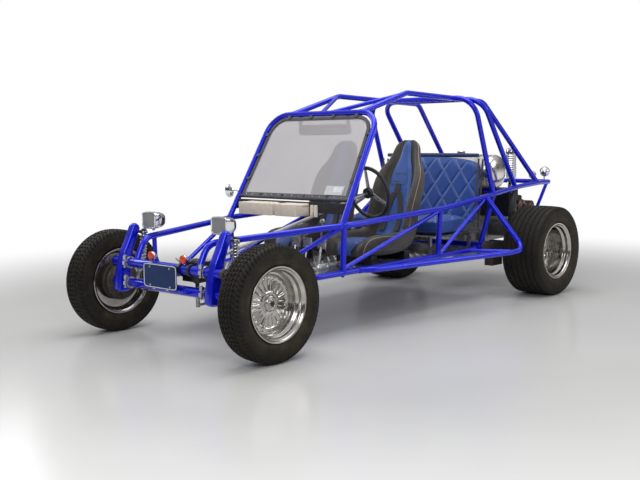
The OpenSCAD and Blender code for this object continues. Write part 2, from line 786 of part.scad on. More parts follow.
// Dash panel with the bearing that holds the steering shaft below its edge
module dash_panel() color("#26282b") difference() {
    union() {
        block([cowl_x - 62, -panel_foot[1], belt_z + 60], [cowl_x - 48, panel_foot[1], belt_z + 126]);
        rod(along(cowl_x - 40, shaft, 0), along(cowl_x - 70, shaft, 0), shaft_r + 14);
    }
    rod(shaft[0], shaft[1], shaft_r + pin_gap);
    notch(windshield_path);
    both_sides() translate([0, panel_foot[1] - 4, 0]) cube([wheelbase, 100, roof_z]);
}

module cowl_boxes() color("antiquewhite") {
    // Each box: low y, high y
    for (b = [[-345, -30], [-10, 186]])
        block([cowl_x - 47.7, b[0], belt_z + 40], [cowl_x + 80, b[1], belt_z + 118]);
}

// Pedals on their bar, and the gear lever
module cabin_controls() color(steel) {
    pedal_x = cowl_x + 80;
    post_y([pedal_x, 110, floor_top + 12 + seat_gap], 12, 330);
    for (y = [150, 250, 370]) {
        rod([pedal_x, y, floor_top + 12], [pedal_x - 30, y, floor_top + 150], 6);
        translate([pedal_x - 42, y - 32, floor_top + 140]) cube([12, 64, 60]);
    }
    translate([cowl_x - 330, 0, floor_top + seat_gap]) cylinder(h = 30, r = 40);
    rod([cowl_x - 330, 0, floor_top + 20], [cowl_x - 370, 0, floor_top + 250], 7);
    translate([cowl_x - 370, 0, floor_top + 255]) sphere(r = 20);
}

// Front bucket seat about its middle line: pedestal, cushion, bolsters, back, wings and head piece
seat_x = cowl_x - 560;
back_r = 30;
head_r = 34;
bolster_r = 25;
wing_r = 22;
wing_spread = 20;
module seat_shell(y) color("#38465c") translate([seat_x, y, 0]) {
    half = seat_w / 2;
    base = floor_top + seat_gap;
    pan = base + 40 + seat_gap;
    inner = half - 2 * bolster_r;
    block([-260, -inner, base], [240, inner, base + 40]);
    // The back leans on a line from its foot to its shoulders, in x and z
    foot = [-225, pan + back_r];
    shoulder = [-385, 1010];
    back_half = inner + wing_spread - seat_gap;
    block([foot[0] + back_r + seat_gap, -inner + seat_gap, pan], [300, inner - seat_gap, pan + 115]);
    for (s = [-1, 1]) hull() for (x = [-165, 260])
        translate([x, s * (half - bolster_r), pan]) cylinder(h = x < 0 ? 150 : 120, r = bolster_r, $fn = 24);
    hull() for (p = [foot, shoulder], s = [-1, 1])
        translate([p[0], s * (back_half - back_r), p[1]]) sphere(r = back_r, $fn = 24);
    // The head piece stands on the shoulders
    lean = 22;
    head_z = shoulder[1] + sqrt(pow(back_r + head_r + seat_gap + 0.2, 2) - lean * lean);
    hull() for (p = [[shoulder[0] - lean, 92, head_z], [shoulder[0] - 58, 62, head_z + 72]], s = [-1, 1])
        translate([p[0], s * p[1], p[2]]) sphere(r = head_r, $fn = 24);
    for (s = [-1, 1]) hull() for (p = [[-170, 600], [-285, 935]], d = [0, 98])
        translate([p[0] - d, s * (back_half + wing_r + seat_gap), p[1]]) sphere(r = wing_r, $fn = 24);
}
module seat_left() seat_shell(seat_pitch / 2);
module seat_right() seat_shell(-seat_pitch / 2);

// Rear bench: a cushion and a leaning back, both slabs with rounded edges
bench_floor = bench_pan_z + floor_t + seat_gap;
bench_lean = 7;
bench_r = 30;
function arc_points(c, from) =
    [for (i = [0 : 5]) let(a = from + 18 * i) c + bench_r * [cos(a), sin(a)]];
// Outline of a slab, drawn from the centre of its lower rear corner
function slab_outline(w, h) = let(x = w - 2 * bench_r, z = h - 2 * bench_r) concat(
    arc_points([x, 0], -90), arc_points([x, z], 0), arc_points([0, z], 90), arc_points([0, 0], 180)
);
module bench_slab(x, lean, w, h) translate([x, bench_w / 2, bench_floor + bench_r])
    rotate([90, -lean, 0]) linear_extrude(bench_w) polygon(slab_outline(w, h));
module rear_bench() color("royalblue") {
    bench_slab(bench_x + bench_r + 90, 0, 440, 125);
    bench_slab(bench_x + bench_r - 5, bench_lean, 90, 560);
}

// ---- Lamps, plate and mirrors ----

module headlamps() color(steel) both_sides() {
    lamp = [axle_f + 10, nose_y + 33, 718];
    translate(lamp) {
        hull() {
            translate([-42, -65, -50]) cube([42, 130, 100]);
            translate([-70, 0, 0]) sphere(r = 42, $fn = 32);
        }
    }
    difference() {
        rod(along(lamp[0] - 40, upper_path, 1), lamp + [-40, 0, -45], 8);
        notch(upper_path);
    }
}

// Orange turn signals that stand on the beam
module turn_signals() color("darkorange") for (y = [-120, 170]) {
    translate([beam_x, y, beam_top_z + beam_r + seat_gap]) cylinder(h = 12, r = 8);
    post_x([beam_x - 12, y, beam_top_z + beam_r + 30], 24, 34);
}

// Round lamps on stalks on the tail bar. Each row: y, z of the lamp's middle, and its radius
module tail_lamps() color(steel) both_sides() for (p = [[305, 882, 42], [190, 853, 32]]) {
    stalk_z = tail_z - 3 + tube_r + seat_gap;
    translate([tail_x, p[0], stalk_z]) cylinder(h = p[1] - 0.7 * p[2] - stalk_z, r = 7);
    post_x([tail_x - 10, p[0], p[1]], p[2], 60);
}

plate_x = beam_x + 45;
hole_pitch = 178;
module number_plate() color("royalblue") difference() {
    union() {
        block([plate_x, -plate_w / 2, beam_z - 2], [plate_x + 3, plate_w / 2, beam_z - 2 + plate_h]);
        for (s = [-1, 1]) block([beam_x + beam_r + seat_gap, s * 60 - 12, beam_z - 8],
            [plate_x + 1, s * 60 + 12, beam_z + 8]);
    }
    for (s = [-1, 1]) post_x([plate_x - 1, s * hole_pitch / 2, beam_z + plate_h - 22], 3.5, 6);
}

module mirrors() color("tan") {
    hang = [header_x - 8, -10, header_z - 107];
    block(hang + [-8, -235, -38], hang + [8, 235, 38]);
    for (s = [-1, 1]) difference() {
        rod(hang + [0, s * 215, 30], [header_x - 8, hang[1] + s * 215, header_z], 7);
        notch(windshield_path);
    }
    glass = [pillar_foot[0] - 80, -belt_y - 34, 842];
    post_x(glass, 45, 16);
    difference() {
        rod(glass + [8, 0, 0], mix(flip(pillar_foot), windshield_path[2], 0.26), 6);
        notch(windshield_path);
    }
}

// ---- Steering wheel and its shaft, along the axis from the box to the driver ----

module steering_wheel() color("#26282b") {
    axis = unit(shaft[1] - shaft[0]);
    translate(shaft[1]) rotate([0, acos(axis[2]), atan2(axis[1], axis[0])]) {
        rotate_extrude() translate([wheel_r, 0]) circle(r = 13);
        for (a = [90, 210, 330]) rotate([0, 0, a]) translate([20, -14, -3]) cube([wheel_r - 25, 28, 6]);
        translate([0, 0, -25]) cylinder(h = 40, r = 38);
    }
    rod(shaft[1] - axis * 20, shaft[0], shaft_r);
}

car() lower_rails();
car() side_bars();
car() upper_rails();
car() tail_bar();
car() windshield_hoop();
car() roof_rails();
car() main_hoop();
car() rear_hoop();
car() side_uprights();
car() side_diagonals();
car() floor_tubes();
car() engine_guard();
car() floor_pan();
car() front_beam();
car() shock_towers();
car() front_arms();
car() front_shocks();
car() steering_box();
car() windshield_frame();
car() windshield_pane();
car() dash_panel();
car() cowl_boxes();
car() cabin_controls();
car() seat_left();
car() seat_right();
car() rear_bench();
car() fuel_tank();
car() engine_case();
car() fan_shroud();
car() air_cleaner();
car() exhaust();
car() transaxle();
car() torsion_housing();
car() rear_arms();
car() rear_shocks();
car() headlamps();
car() turn_signals();
car() tail_lamps();
car() number_plate();
car() mirrors();
car() steering_wheel();
car() tie_rods();
car() knuckle_left();
car() knuckle_right();
car() rim_front_left();
car() rim_front_right();
car() rim_rear_left();
car() rim_rear_right();
car() tyre_front_left();
car() tyre_front_right();
car() tyre_rear_left();
car() tyre_rear_right();
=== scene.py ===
"""Looks of a four-seat tube-frame dune buggy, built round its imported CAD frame.

Tables are in millimetres from the middle of the wheelbase, as in the part's source, and place()
turns them into metres in the row frame.
"""

import json
import logging
import math
from dataclasses import dataclass
from enum import Enum
from typing import Any, Sequence

import bmesh
import bpy
import numpy as np
from mathutils import Matrix


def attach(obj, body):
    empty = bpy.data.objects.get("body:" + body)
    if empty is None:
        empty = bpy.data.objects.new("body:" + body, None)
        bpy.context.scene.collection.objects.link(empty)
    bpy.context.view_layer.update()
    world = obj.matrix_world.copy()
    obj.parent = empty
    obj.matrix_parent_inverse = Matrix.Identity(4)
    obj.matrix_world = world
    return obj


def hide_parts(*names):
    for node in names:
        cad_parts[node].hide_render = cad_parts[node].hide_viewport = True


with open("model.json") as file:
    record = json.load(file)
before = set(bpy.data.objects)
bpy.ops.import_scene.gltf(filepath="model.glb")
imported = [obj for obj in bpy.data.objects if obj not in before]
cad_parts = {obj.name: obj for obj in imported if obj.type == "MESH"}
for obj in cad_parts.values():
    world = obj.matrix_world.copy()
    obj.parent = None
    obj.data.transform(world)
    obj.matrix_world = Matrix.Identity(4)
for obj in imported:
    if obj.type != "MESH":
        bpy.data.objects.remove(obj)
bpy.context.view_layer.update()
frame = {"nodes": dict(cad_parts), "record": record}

LOG = logging.getLogger("dune_buggy")
CENTRE = np.array([230.0, 0.0, 0.0])
TAU = 2 * math.pi
Array = np.ndarray
SIDES = ((1, "left"), (-1, "right"))


# ---- Points and curves ----


def place(points: Any) -> Array:
    """Millimetres in the part's frame to metres in the row frame."""
    return (np.asarray(points, float) + CENTRE) / 1000.0


def unit(v: Array) -> Array:
    """The vectors scaled to length one, along the last axis."""
    return v / np.linalg.norm(v, axis=-1, keepdims=True)


def mix(a: Any, b: Any, t: Any) -> Array:
    """The points a share t of the way from a to b."""
    a, b, t = np.asarray(a, float), np.asarray(b, float), np.asarray(t, float)
    return a + (b - a) * (t[..., None] if t.ndim else t)


def smooth(t: Array) -> Array:
    """The step 3t^2 - 2t^3 between 0 and 1, flat outside them."""
    t = np.clip(t, 0, 1)
    return t * t * (3 - 2 * t)


def bump_at(x: Array, middle: float, width: float) -> Array:
    """A smooth hump of height one at middle: exp(-((x - middle) / width)^2)."""
    return np.exp(-(((x - middle) / width) ** 2))


def mirror_y(points: Any) -> Array:
    """The points with y turned over."""
    return np.asarray(points, float) * np.array([1.0, -1.0, 1.0])


def rounded(points: Any, radius: float, least_arc: float = 16.0, steps: int = 9) -> Array:
    """A polyline with an arc at each inner corner.

    An arc of radius R runs between the points R tan(a / 2) from a corner of turn a, and is
    c + R (u sin t - n cos t) for t from 0 to a. A shallow corner takes a longer R.

    Args:
        points: Corners of the path, in millimetres.
        radius: Bend radius of the middle line.
        least_arc: The shortest arc.
        steps: Points on each arc.

    Returns:
        Points of the rounded path.
    """
    p = np.asarray(points, float)
    line = [p[:1]]
    for before, at, after in zip(p[:-2], p[1:-1], p[2:]):
        u, w = unit(at - before), unit(after - at)
        angle = math.acos(float(np.clip(u @ w, -1, 1)))
        if angle < 1e-4:
            continue
        r = max(radius, least_arc / angle)
        inward = unit(w - u * (u @ w))
        t = np.linspace(0, angle, steps)[:, None]
        start = at - u * r * math.tan(angle / 2)
        line.append(start + r * (u * np.sin(t) + inward * (1 - np.cos(t))))
    line.append(p[-1:])
    return np.concatenate(line)


def frames(line: Array, closed: bool = False, side: Array | None = None) -> tuple[Array, Array]:
    """Two directions across a line at each of its points.

    The first is the line's plane normal (or side) with its part along the tangent taken off, and
    the second is the tangent crossed with it.
    """
    if closed:
        tangent = np.roll(line, -1, 0) - np.roll(line, 1, 0)
    else:
        tangent = np.gradient(line, axis=0)
    tangent = unit(tangent)
    if side is None:
        spread = np.linalg.svd(line - line.mean(0), full_matrices=True)[2]
        side = spread[2]
    across = unit(side - (tangent @ side)[:, None] * tangent)
    return across, np.cross(tangent, across)


def ring(radius: float, count: int, power: float = 2.0) -> Array:
    """A closed section: r (sgn cos |cos|^(2/p), sgn sin |sin|^(2/p)), a circle at power 2."""
    a = np.arange(count) / count * TAU
    c, s = np.cos(a), np.sin(a)
    return radius * np.stack([np.sign(c) * abs(c) ** (2 / power), np.sign(s) * abs(s) ** (2 / power)], 1)


def sweep(line: Array, section: Array, scale: Any = 1.0, closed: bool = False,
          side: Array | None = None) -> Array:
    """A section carried along a line: point(i, j) = line(i) + scale(i) (s1(j) A(i) + s2(j) B(i))."""
    across, up = frames(line, closed, side)
    k = np.broadcast_to(np.asarray(scale, float), (len(line),))[:, None, None]
    return line[:, None] + k * (section[:, 0, None] * across[:, None] + section[:, 1, None] * up[:, None])


def lathe(profile: Any, centre: Any, axis: str = "y", count: int = 72, side: int = 1) -> Array:
    """A profile of (radius, distance along the axis) turned about an axis through centre.

    point(i, j) = centre + r(i) (cos a(j), sin a(j)) across the axis + d(i) along it.
    """
    p = np.asarray(profile, float)
    a = np.arange(count) / count * TAU
    circle = p[:, :1] * np.cos(a), p[:, :1] * np.sin(a)
    along = np.broadcast_to(p[:, 1:] * side, circle[0].shape)
    order = {"x": (along, *circle), "y": (circle[0], along, circle[1]), "z": (*circle, along)}[axis]
    return np.stack(order, -1) + np.asarray(centre, float)


# ---- Pieces ----


class Shape:
    """The surfaces of one piece, in millimetres, gathered before they become its mesh."""

    def __init__(self) -> None:
        """Starts with no surface."""
        self.points: list[Array] = []
        self.faces: list[Array] = []
        self.slots: list[Array] = []
        self.count = 0

    def _add(self, points: Array, faces: Sequence[Array], slot: int) -> None:
        """Keeps points and the face arrays that index them."""
        self.points.append(points)
        for f in faces:
            self.faces.append(f + self.count)
            self.slots.append(np.full(len(f), slot))
        self.count += len(points)

    def grid(self, p: Array, wrap_u: bool = False, wrap_v: bool = True, caps: bool = True,
             slot: int = 0) -> "Shape":
        """A surface point(u, v) as quads, with its two open end rings closed by fans.

        Args:
            p: Points, rows by columns by 3.
            wrap_u: The last row joins the first.
            wrap_v: The last column joins the first.
            caps: Close the first and last rows with a fan to their middle.
            slot: Index of the material.

        Returns:
            This shape.
        """
        rows, cols = p.shape[:2]
        index = np.arange(rows * cols).reshape(rows, cols)
        if wrap_u:
            index = np.concatenate([index, index[:1]])
        if wrap_v:
            index = np.concatenate([index, index[:, :1]], 1)
        quads = np.stack([index[:-1, :-1], index[1:, :-1], index[1:, 1:], index[:-1, 1:]], -1).reshape(-1, 4)
        points, faces = [p.reshape(-1, 3)], [quads]
        if caps and wrap_v and not wrap_u:
            for n, row in enumerate((index[0], index[-1])):
                points.append(p[-n].mean(0)[None])
                tip = np.full(cols, rows * cols + n)
                faces.append(np.stack([row[:-1], row[1:], tip], 1)[:, :: 1 - 2 * n])
        self._add(np.concatenate(points), faces, slot)
        return self

    def tube(self, line: Any, r: Any, count: int = 20, slot: int = 0, closed: bool = False) -> "Shape":
        """A round bar along a line, of one radius or of one radius a point."""
        line = np.asarray(line, float)
        return self.grid(sweep(line, ring(1.0, count), r, closed), wrap_u=closed, slot=slot)

    def pin(self, a: Any, b: Any, r: float, count: int = 20, slot: int = 0, edge: float = 1.0) -> "Shape":
        """A straight bar from a to b whose end edges are rounded off by an edge radius."""
        a, b = np.asarray(a, float), np.asarray(b, float)
        length = np.linalg.norm(b - a)
        e = min(edge, r / 2, length / 3)
        q = np.linspace(0, math.pi / 2, 4)
        rise = np.concatenate([e * (1 - np.cos(q)), length - e * (1 - np.cos(q[::-1]))])
        size = np.concatenate([r - e + e * np.sin(q), r - e + e * np.sin(q[::-1])])
        line = a + unit(b - a) * rise[:, None]
        helper = np.eye(3)[int(np.argmin(abs(b - a)))]
        section = sweep(np.array([a, b]), ring(1.0, count), 1.0, side=unit(np.cross(b - a, helper)))[0] - a
        return self.grid(line[:, None] + size[:, None, None] * section, slot=slot)

    def turned(self, profile: Any, centre: Any, axis: str = "y", count: int = 72, side: int = 1,
               slot: int = 0, loop: bool = False) -> "Shape":
        """A lathe-turned surface; loop joins the last profile point to the first."""
        return self.grid(lathe(profile, centre, axis, count, side), wrap_u=loop, slot=slot)

    def box(self, low: Any, high: Any, slot: int = 0, matrix: Array | None = None) -> "Shape":
        """A block between two corners, for a Bevel modifier to round; matrix turns it about its middle."""
        low, high = np.asarray(low, float), np.asarray(high, float)
        c = np.array([[x, y, z] for x in (0, 1) for y in (0, 1) for z in (0, 1)], float)
        p = low + c * (high - low)
        if matrix is not None:
            middle = (low + high) / 2
            p = (p - middle) @ matrix.T + middle
        f = np.array([[0, 1, 3, 2], [4, 6, 7, 5], [0, 4, 5, 1], [2, 3, 7, 6], [0, 2, 6, 4], [1, 5, 7, 3]])
        self._add(p, [f], slot)
        return self

    def prism(self, outline: Array, offset: Any, slot: int = 0) -> "Shape":
        """A flat outline of 3-D points carried along an offset, with both ends closed."""
        outline = np.asarray(outline, float)
        return self.grid(np.stack([outline, outline + np.asarray(offset, float)]), slot=slot)

    def bolt(self, at: Any, axis: Any, r: float = 6.0, slot: int = 0) -> "Shape":
        """A hexagon bolt head on a washer, standing on a surface at a point."""
        at, axis = np.asarray(at, float), unit(np.asarray(axis, float))
        self.pin(at, at + axis * r * 0.3, r * 1.5, 14, slot, 0.4)
        return self.pin(at + axis * r * 0.3, at + axis * r * 1.1, r, 6, slot, 0.6)

    def mirrored(self) -> "Shape":
        """Adds the same surfaces with y turned over."""
        points = np.concatenate(self.points)
        flipped = [f[:, ::-1] for f in self.faces]
        slots = [int(s[0]) if len(s) else 0 for s in self.slots]
        base = self.count
        self.points.append(mirror_y(points))
        for f, s in zip(flipped, slots):
            self.faces.append(f + base)
            self.slots.append(np.full(len(f), s))
        self.count += base
        return self

    def mesh(self, name: str) -> bpy.types.Mesh:
        """The gathered surfaces as a mesh in metres, doubles merged and normals outwards."""
        mesh = bpy.data.meshes.new(name)
        points = place(np.concatenate(self.points))
        loops = np.concatenate([f.ravel() for f in self.faces])
        sizes = np.concatenate([np.full(len(f), f.shape[1]) for f in self.faces])
        mesh.vertices.add(len(points))
        mesh.vertices.foreach_set("co", points.ravel())
        mesh.loops.add(len(loops))
        mesh.loops.foreach_set("vertex_index", loops)
        mesh.polygons.add(len(sizes))
        mesh.polygons.foreach_set("loop_start", np.concatenate([[0], np.cumsum(sizes)[:-1]]))
        mesh.polygons.foreach_set("material_index", np.concatenate(self.slots))
        mesh.update(calc_edges=True)
        tidy(mesh)
        return mesh

    def build(self, name: str, body: str, slot: str, finishes: Sequence["Finish"],
              replaces: Sequence[str] = (), angle: float = 38.0, bevel: float = 0.0) -> bpy.types.Object:
        """Makes the piece and hands it to the frame.

        Args:
            name: Name of the piece.
            body: CAD body that it rides on.
            slot: The record's material slot; not used.
            finishes: Its finishes, in the order of the slots used.
            replaces: CAD nodes that it stands for.
            angle: Edges that turn by more degrees stay sharp.
            bevel: Width in millimetres of a Bevel modifier, or none.

        Returns:
            The piece.
        """
        piece = bpy.data.objects.new(name, self.mesh(name))
        bpy.context.scene.collection.objects.link(piece)
        if bevel:
            round_edges(piece, bevel)
            angle = 180.0
        return finish_piece(piece, body, finishes, replaces, angle)


def round_edges(piece: bpy.types.Object, width: float) -> None:
    """Rounds the sharp edges of a piece by a width in millimetres."""
    rounder = piece.modifiers.new("rounded_edges", "BEVEL")
    rounder.width, rounder.segments, rounder.limit_method = width / 1000, 3, "ANGLE"
    rounder.angle_limit, rounder.harden_normals = math.radians(30), True


def tidy(mesh: bpy.types.Mesh, gap: float = 2e-5) -> None:
    """Merges the doubles of a mesh, drops what they leave flat and points its faces outwards."""
    bm = bmesh.new()
    bm.from_mesh(mesh)
    bmesh.ops.remove_doubles(bm, verts=bm.verts, dist=gap)
    bmesh.ops.dissolve_degenerate(bm, edges=bm.edges, dist=gap / 4)
    bmesh.ops.recalc_face_normals(bm, faces=bm.faces)
    bm.to_mesh(mesh)
    bm.free()


def finish_piece(piece: bpy.types.Object, body: str, finishes: Sequence["Finish"],
                 replaces: Sequence[str] = (), angle: float = 38.0) -> bpy.types.Object:
    """Shades a piece, gives it its finishes, and hands it to the frame."""
    mesh = piece.data
    mesh.polygons.foreach_set("use_smooth", np.ones(len(mesh.polygons), bool))
    if angle < 180:
        mesh.set_sharp_from_angle(angle=math.radians(angle))
    slots = np.zeros(len(mesh.polygons), np.int32)
    mesh.polygons.foreach_get("material_index", slots)
    mesh.materials.clear()
    for f in finishes:
        mesh.materials.append(f.material())
    mesh.polygons.foreach_set("material_index", np.minimum(slots, len(finishes) - 1))
    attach(piece, body)
    if replaces:
        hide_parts(*replaces)
    LOG.info("%s: %d faces on %s", piece.name, len(mesh.polygons), body)
    return piece


def smooth_copy(node: str, name: str, finish: "Finish", bevel: float = 0.0) -> bpy.types.Object:
    """A CAD node's own shape with its loose triangles merged, its edges rounded and shaded smooth."""
    mesh = frame["nodes"][node].data.copy()
    tidy(mesh)
    piece = bpy.data.objects.new(name, mesh)
    bpy.context.scene.collection.objects.link(piece)
    angle = 35.0
    if bevel:
        round_edges(piece, bevel)
        angle = 180.0
    body = next(b for b, nodes in frame["record"]["behaviour"]["bodies"].items() if node in nodes)
    return finish_piece(piece, body, [finish], [node], angle)


# ---- Finishes ----


def linear(colour: str) -> tuple[float, float, float, float]:
    """An sRGB hex colour as linear light with full alpha."""
    v = [int(colour[i:i + 2], 16) / 255 for i in (1, 3, 5)]
    return (*(c / 12.92 if c <= 0.04045 else ((c + 0.055) / 1.055) ** 2.4 for c in v), 1.0)


def add(tree: bpy.types.NodeTree, kind: str, inputs: dict[Any, Any] | None = None, **settings: Any) -> Any:
    """Adds a node with its settings; an input that is another node's socket is linked."""
    node = tree.nodes.new("ShaderNode" + kind)
    for key, value in settings.items():
        setattr(node, key, value)
    for key, value in (inputs or {}).items():
        if isinstance(value, bpy.types.NodeSocket):
            tree.links.new(value, node.inputs[key])
        else:
            node.inputs[key].default_value = value
    return node


class Grain(Enum):
    """How a finish's fine relief is drawn."""

    NONE = "none"
    PEEL = "peel"
    PEBBLE = "pebble"
    BRUSHED = "brushed"


@dataclass(frozen=True)
class Finish:
    """A finish by its everyday name: a colour that drifts to a second one, a gloss and a relief.

    Sizes are in millimetres on the object.
    """

    name: str
    colour: str
    second: str = ""
    drift_mm: float = 60.0
    roughness: float = 0.4
    rough_drift: float = 0.08
    metallic: float = 0.0
    specular: float = 0.5
    coat: float = 0.0
    coat_roughness: float = 0.05
    sheen: float = 0.0
    grain: Grain = Grain.NONE
    grain_mm: float = 1.0
    relief: float = 0.1
    stretch: tuple[float, float, float] = (1.0, 1.0, 1.0)

    def material(self) -> bpy.types.Material:
        """The finish as a material, made once."""
        found = bpy.data.materials.get(f"{self.name}_finish")
        if found:
            return found
        material = bpy.data.materials.new(f"{self.name}_finish")
        material.use_nodes = True
        tree = material.node_tree
        tree.nodes.clear()
        shader = add(tree, "BsdfPrincipled", {
            "Metallic": self.metallic, "Specular IOR Level": self.specular, "Coat Weight": self.coat,
            "Coat Roughness": self.coat_roughness, "Sheen Weight": self.sheen,
        })
        where = add(tree, "TexCoord").outputs["Object"]
        tree.links.new(self.colours(tree, where), shader.inputs["Base Color"])
        spots = add(tree, "TexNoise", {"Vector": where, "Scale": 1000 / (self.drift_mm * 0.4), "Detail": 4.0})
        rough = add(tree, "MapRange", {
            "Value": spots.outputs["Fac"], "From Min": 0.3, "From Max": 0.7,
            "To Min": max(0.0, self.roughness - self.rough_drift),
            "To Max": self.roughness + self.rough_drift,
        })
        tree.links.new(rough.outputs["Result"], shader.inputs["Roughness"])
        height = self.height(tree, where)
        if height is not None:
            relief = add(tree, "Bump", {"Height": height, "Strength": self.relief, "Distance": 0.001})
            tree.links.new(relief.outputs["Normal"], shader.inputs["Normal"])
        self.dress(tree, shader, where)
        out = add(tree, "OutputMaterial")
        tree.links.new(self.surface(tree, shader), out.inputs["Surface"])
        material.diffuse_color = linear(self.colour)
        return material

    def colours(self, tree: bpy.types.NodeTree, where: Any) -> Any:
        """The colour drift: soft noise between the two colours."""
        noise = add(tree, "TexNoise", {
            "Vector": where, "Scale": 1000 / self.drift_mm, "Detail": 5.0, "Roughness": 0.6})
        ramp = add(tree, "ValToRGB", {"Fac": noise.outputs["Fac"]})
        ramp.color_ramp.elements[0].position, ramp.color_ramp.elements[1].position = 0.35, 0.68
        ramp.color_ramp.elements[0].color = linear(self.colour)
        ramp.color_ramp.elements[1].color = linear(self.second or self.colour)
        return ramp.outputs["Color"]

    def height(self, tree: bpy.types.NodeTree, where: Any) -> Any:
        """The fine relief as a height, or None where the surface is plain."""
        if self.grain is Grain.NONE:
            return None
        scale = 1000 / self.grain_mm
        if self.grain is Grain.PEBBLE:
            cells = add(tree, "TexVoronoi", {"Vector": where, "Scale": scale}, feature="F1")
            return cells.outputs["Distance"]
        if self.grain is Grain.BRUSHED:
            turned = add(tree, "Mapping", {"Vector": where, "Scale": self.stretch})
            where = turned.outputs["Vector"]
        return add(tree, "TexNoise", {"Vector": where, "Scale": scale, "Detail": 2.0}).outputs["Fac"]

    def dress(self, tree: bpy.types.NodeTree, shader: Any, where: Any) -> None:
        """What a special finish changes on its shader."""

    def surface(self, tree: bpy.types.NodeTree, shader: Any) -> Any:
        """The socket that goes to the output."""
        return shader.outputs["BSDF"]


@dataclass(frozen=True)
class TyreRubber(Finish):
    """Moulded tyre rubber: black, browned on the walls and dusty towards the bead."""

    dust: str = "#453c2b"

    def colours(self, tree: bpy.types.NodeTree, where: Any) -> Any:
        """Black rubber with dust in patches, by noise stretched round the wheel."""
        base = super().colours(tree, where)
        patch = add(tree, "TexNoise", {"Vector": where, "Scale": 9.0, "Detail": 6.0, "Roughness": 0.7})
        share = add(tree, "MapRange", {
            "Value": patch.outputs["Fac"], "From Min": 0.4, "From Max": 0.7, "To Min": 0.15, "To Max": 1.0})
        wall = add(tree, "Attribute", attribute_name="wall")
        share = add(tree, "Math", {0: share.outputs["Result"], 1: wall.outputs["Fac"]}, operation="MULTIPLY")
        mixed = add(tree, "MixRGB", {"Fac": share.outputs[0], "Color1": base, "Color2": linear(self.dust)})
        return mixed.outputs["Color"]


@dataclass(frozen=True)
class ClearSheet(Finish):
    """Clear acrylic sheet with a grey haze, so that what is behind it shows pale."""

    haze: float = 0.5

    def surface(self, tree: bpy.types.NodeTree, shader: Any) -> Any:
        """A share of see-through with the hazy shader over it."""
        clear = add(tree, "BsdfTransparent", {"Color": linear("#eceaec")})
        both = add(tree, "MixShader", {"Fac": self.haze, 1: clear.outputs[0], 2: shader.outputs["BSDF"]})
        return both.outputs[0]


@dataclass(frozen=True)
class TreadPlate(Finish):
    """Rolled aluminium tread plate: its bars are raised by geometry, its face is scuffed."""

    def colours(self, tree: bpy.types.NodeTree, where: Any) -> Any:
        """Bright metal with scuffs: stretched noise over the drift."""
        base = super().colours(tree, where)
        lines = add(tree, "Mapping", {"Vector": where, "Scale": (1.0, 7.0, 1.0)})
        marks = add(tree, "TexNoise", {"Vector": lines.outputs["Vector"], "Scale": 26.0, "Detail": 7.0})
        share = add(tree, "MapRange", {
            "Value": marks.outputs["Fac"], "From Min": 0.55, "From Max": 0.7, "To Min": 0.0, "To Max": 0.6})
        mixed = add(tree, "MixRGB", {
            "Fac": share.outputs["Result"], "Color1": base, "Color2": linear("#6b6a68")})
        return mixed.outputs["Color"]


@dataclass(frozen=True)
class HeatTint(Finish):
    """Bronze pipe coating that the heat has browned and blued in bands along the car."""

    def colours(self, tree: bpy.types.NodeTree, where: Any) -> Any:
        """Three tints by a slow wave with noise in it."""
        wave = add(tree, "TexWave", {"Vector": where, "Scale": 2.4, "Distortion": 3.0, "Detail": 3.0})
        ramp = add(tree, "ValToRGB", {"Fac": wave.outputs["Fac"]})
        ramp.color_ramp.elements[0].color = linear(self.colour)
        ramp.color_ramp.elements[1].color = linear(self.second)
        middle = ramp.color_ramp.elements.new(0.55)
        middle.color = linear("#5b4430")
        return ramp.outputs["Color"]


@dataclass(frozen=True)
class LampGlass(Finish):
    """Moulded lens: see-through glass that keeps a tint and a gloss."""

    clear: float = 0.7

    def surface(self, tree: bpy.types.NodeTree, shader: Any) -> Any:
        """Mostly see-through, with the gloss of the shader over it."""
        glass = add(tree, "BsdfTransparent", {"Color": linear(self.colour)})
        both = add(tree, "MixShader", {"Fac": 1 - self.clear, 1: glass.outputs[0], 2: shader.outputs["BSDF"]})
        return both.outputs[0]


@dataclass(frozen=True)
class QuiltVinyl(Finish):
    """Quilted vinyl whose thread shows lighter along the seams, by the piece's seam attribute."""

    thread: str = "#7f9ccf"

    def colours(self, tree: bpy.types.NodeTree, where: Any) -> Any:
        """The vinyl's drift with the thread colour over the seams."""
        base = super().colours(tree, where)
        seam = add(tree, "Attribute", attribute_name="seam")
        stitch = add(tree, "TexNoise", {"Vector": where, "Scale": 220.0, "Detail": 1.0})
        share = add(tree, "Math", {0: seam.outputs["Fac"], 1: stitch.outputs["Fac"]}, operation="MULTIPLY")
        mixed = add(tree, "MixRGB", {"Fac": share.outputs[0], "Color1": base, "Color2": linear(self.thread)})
        return mixed.outputs["Color"]


# Cobalt enamel over a bright base: the reflections take the blue, and the coat gives a hard edge.
PAINT = Finish("cobalt_enamel", "#0614c4", "#0a1fd2", 240, 0.24, 0.04, 0.35, 0.4, 0.35, 0.06,
               grain=Grain.PEEL, grain_mm=4, relief=0.04)
WELD = Finish("painted_weld_bead", "#0712a8", "#0a18bd", 20, 0.34, 0.05, 0.3, 0.4, 0.2,
              grain=Grain.PEEL, grain_mm=2, relief=0.2)
RUBBER = TyreRubber("tyre_rubber", "#141311", "#1c1a17", 40, 0.64, 0.1, specular=0.2,
                    grain=Grain.PEEL, grain_mm=1.2, relief=0.25)
POLISHED = Finish("polished_aluminium", "#a9a6a2", "#bab6b1", 90, 0.15, 0.06, 1.0,
                  grain=Grain.BRUSHED, grain_mm=0.8, relief=0.05, stretch=(1, 6, 1))
SPUN = Finish("spun_aluminium", "#cbc8c4", "#dfdcd8", 120, 0.24, 0.06, 1.0,
              grain=Grain.BRUSHED, grain_mm=1.0, relief=0.12, stretch=(1, 40, 1))
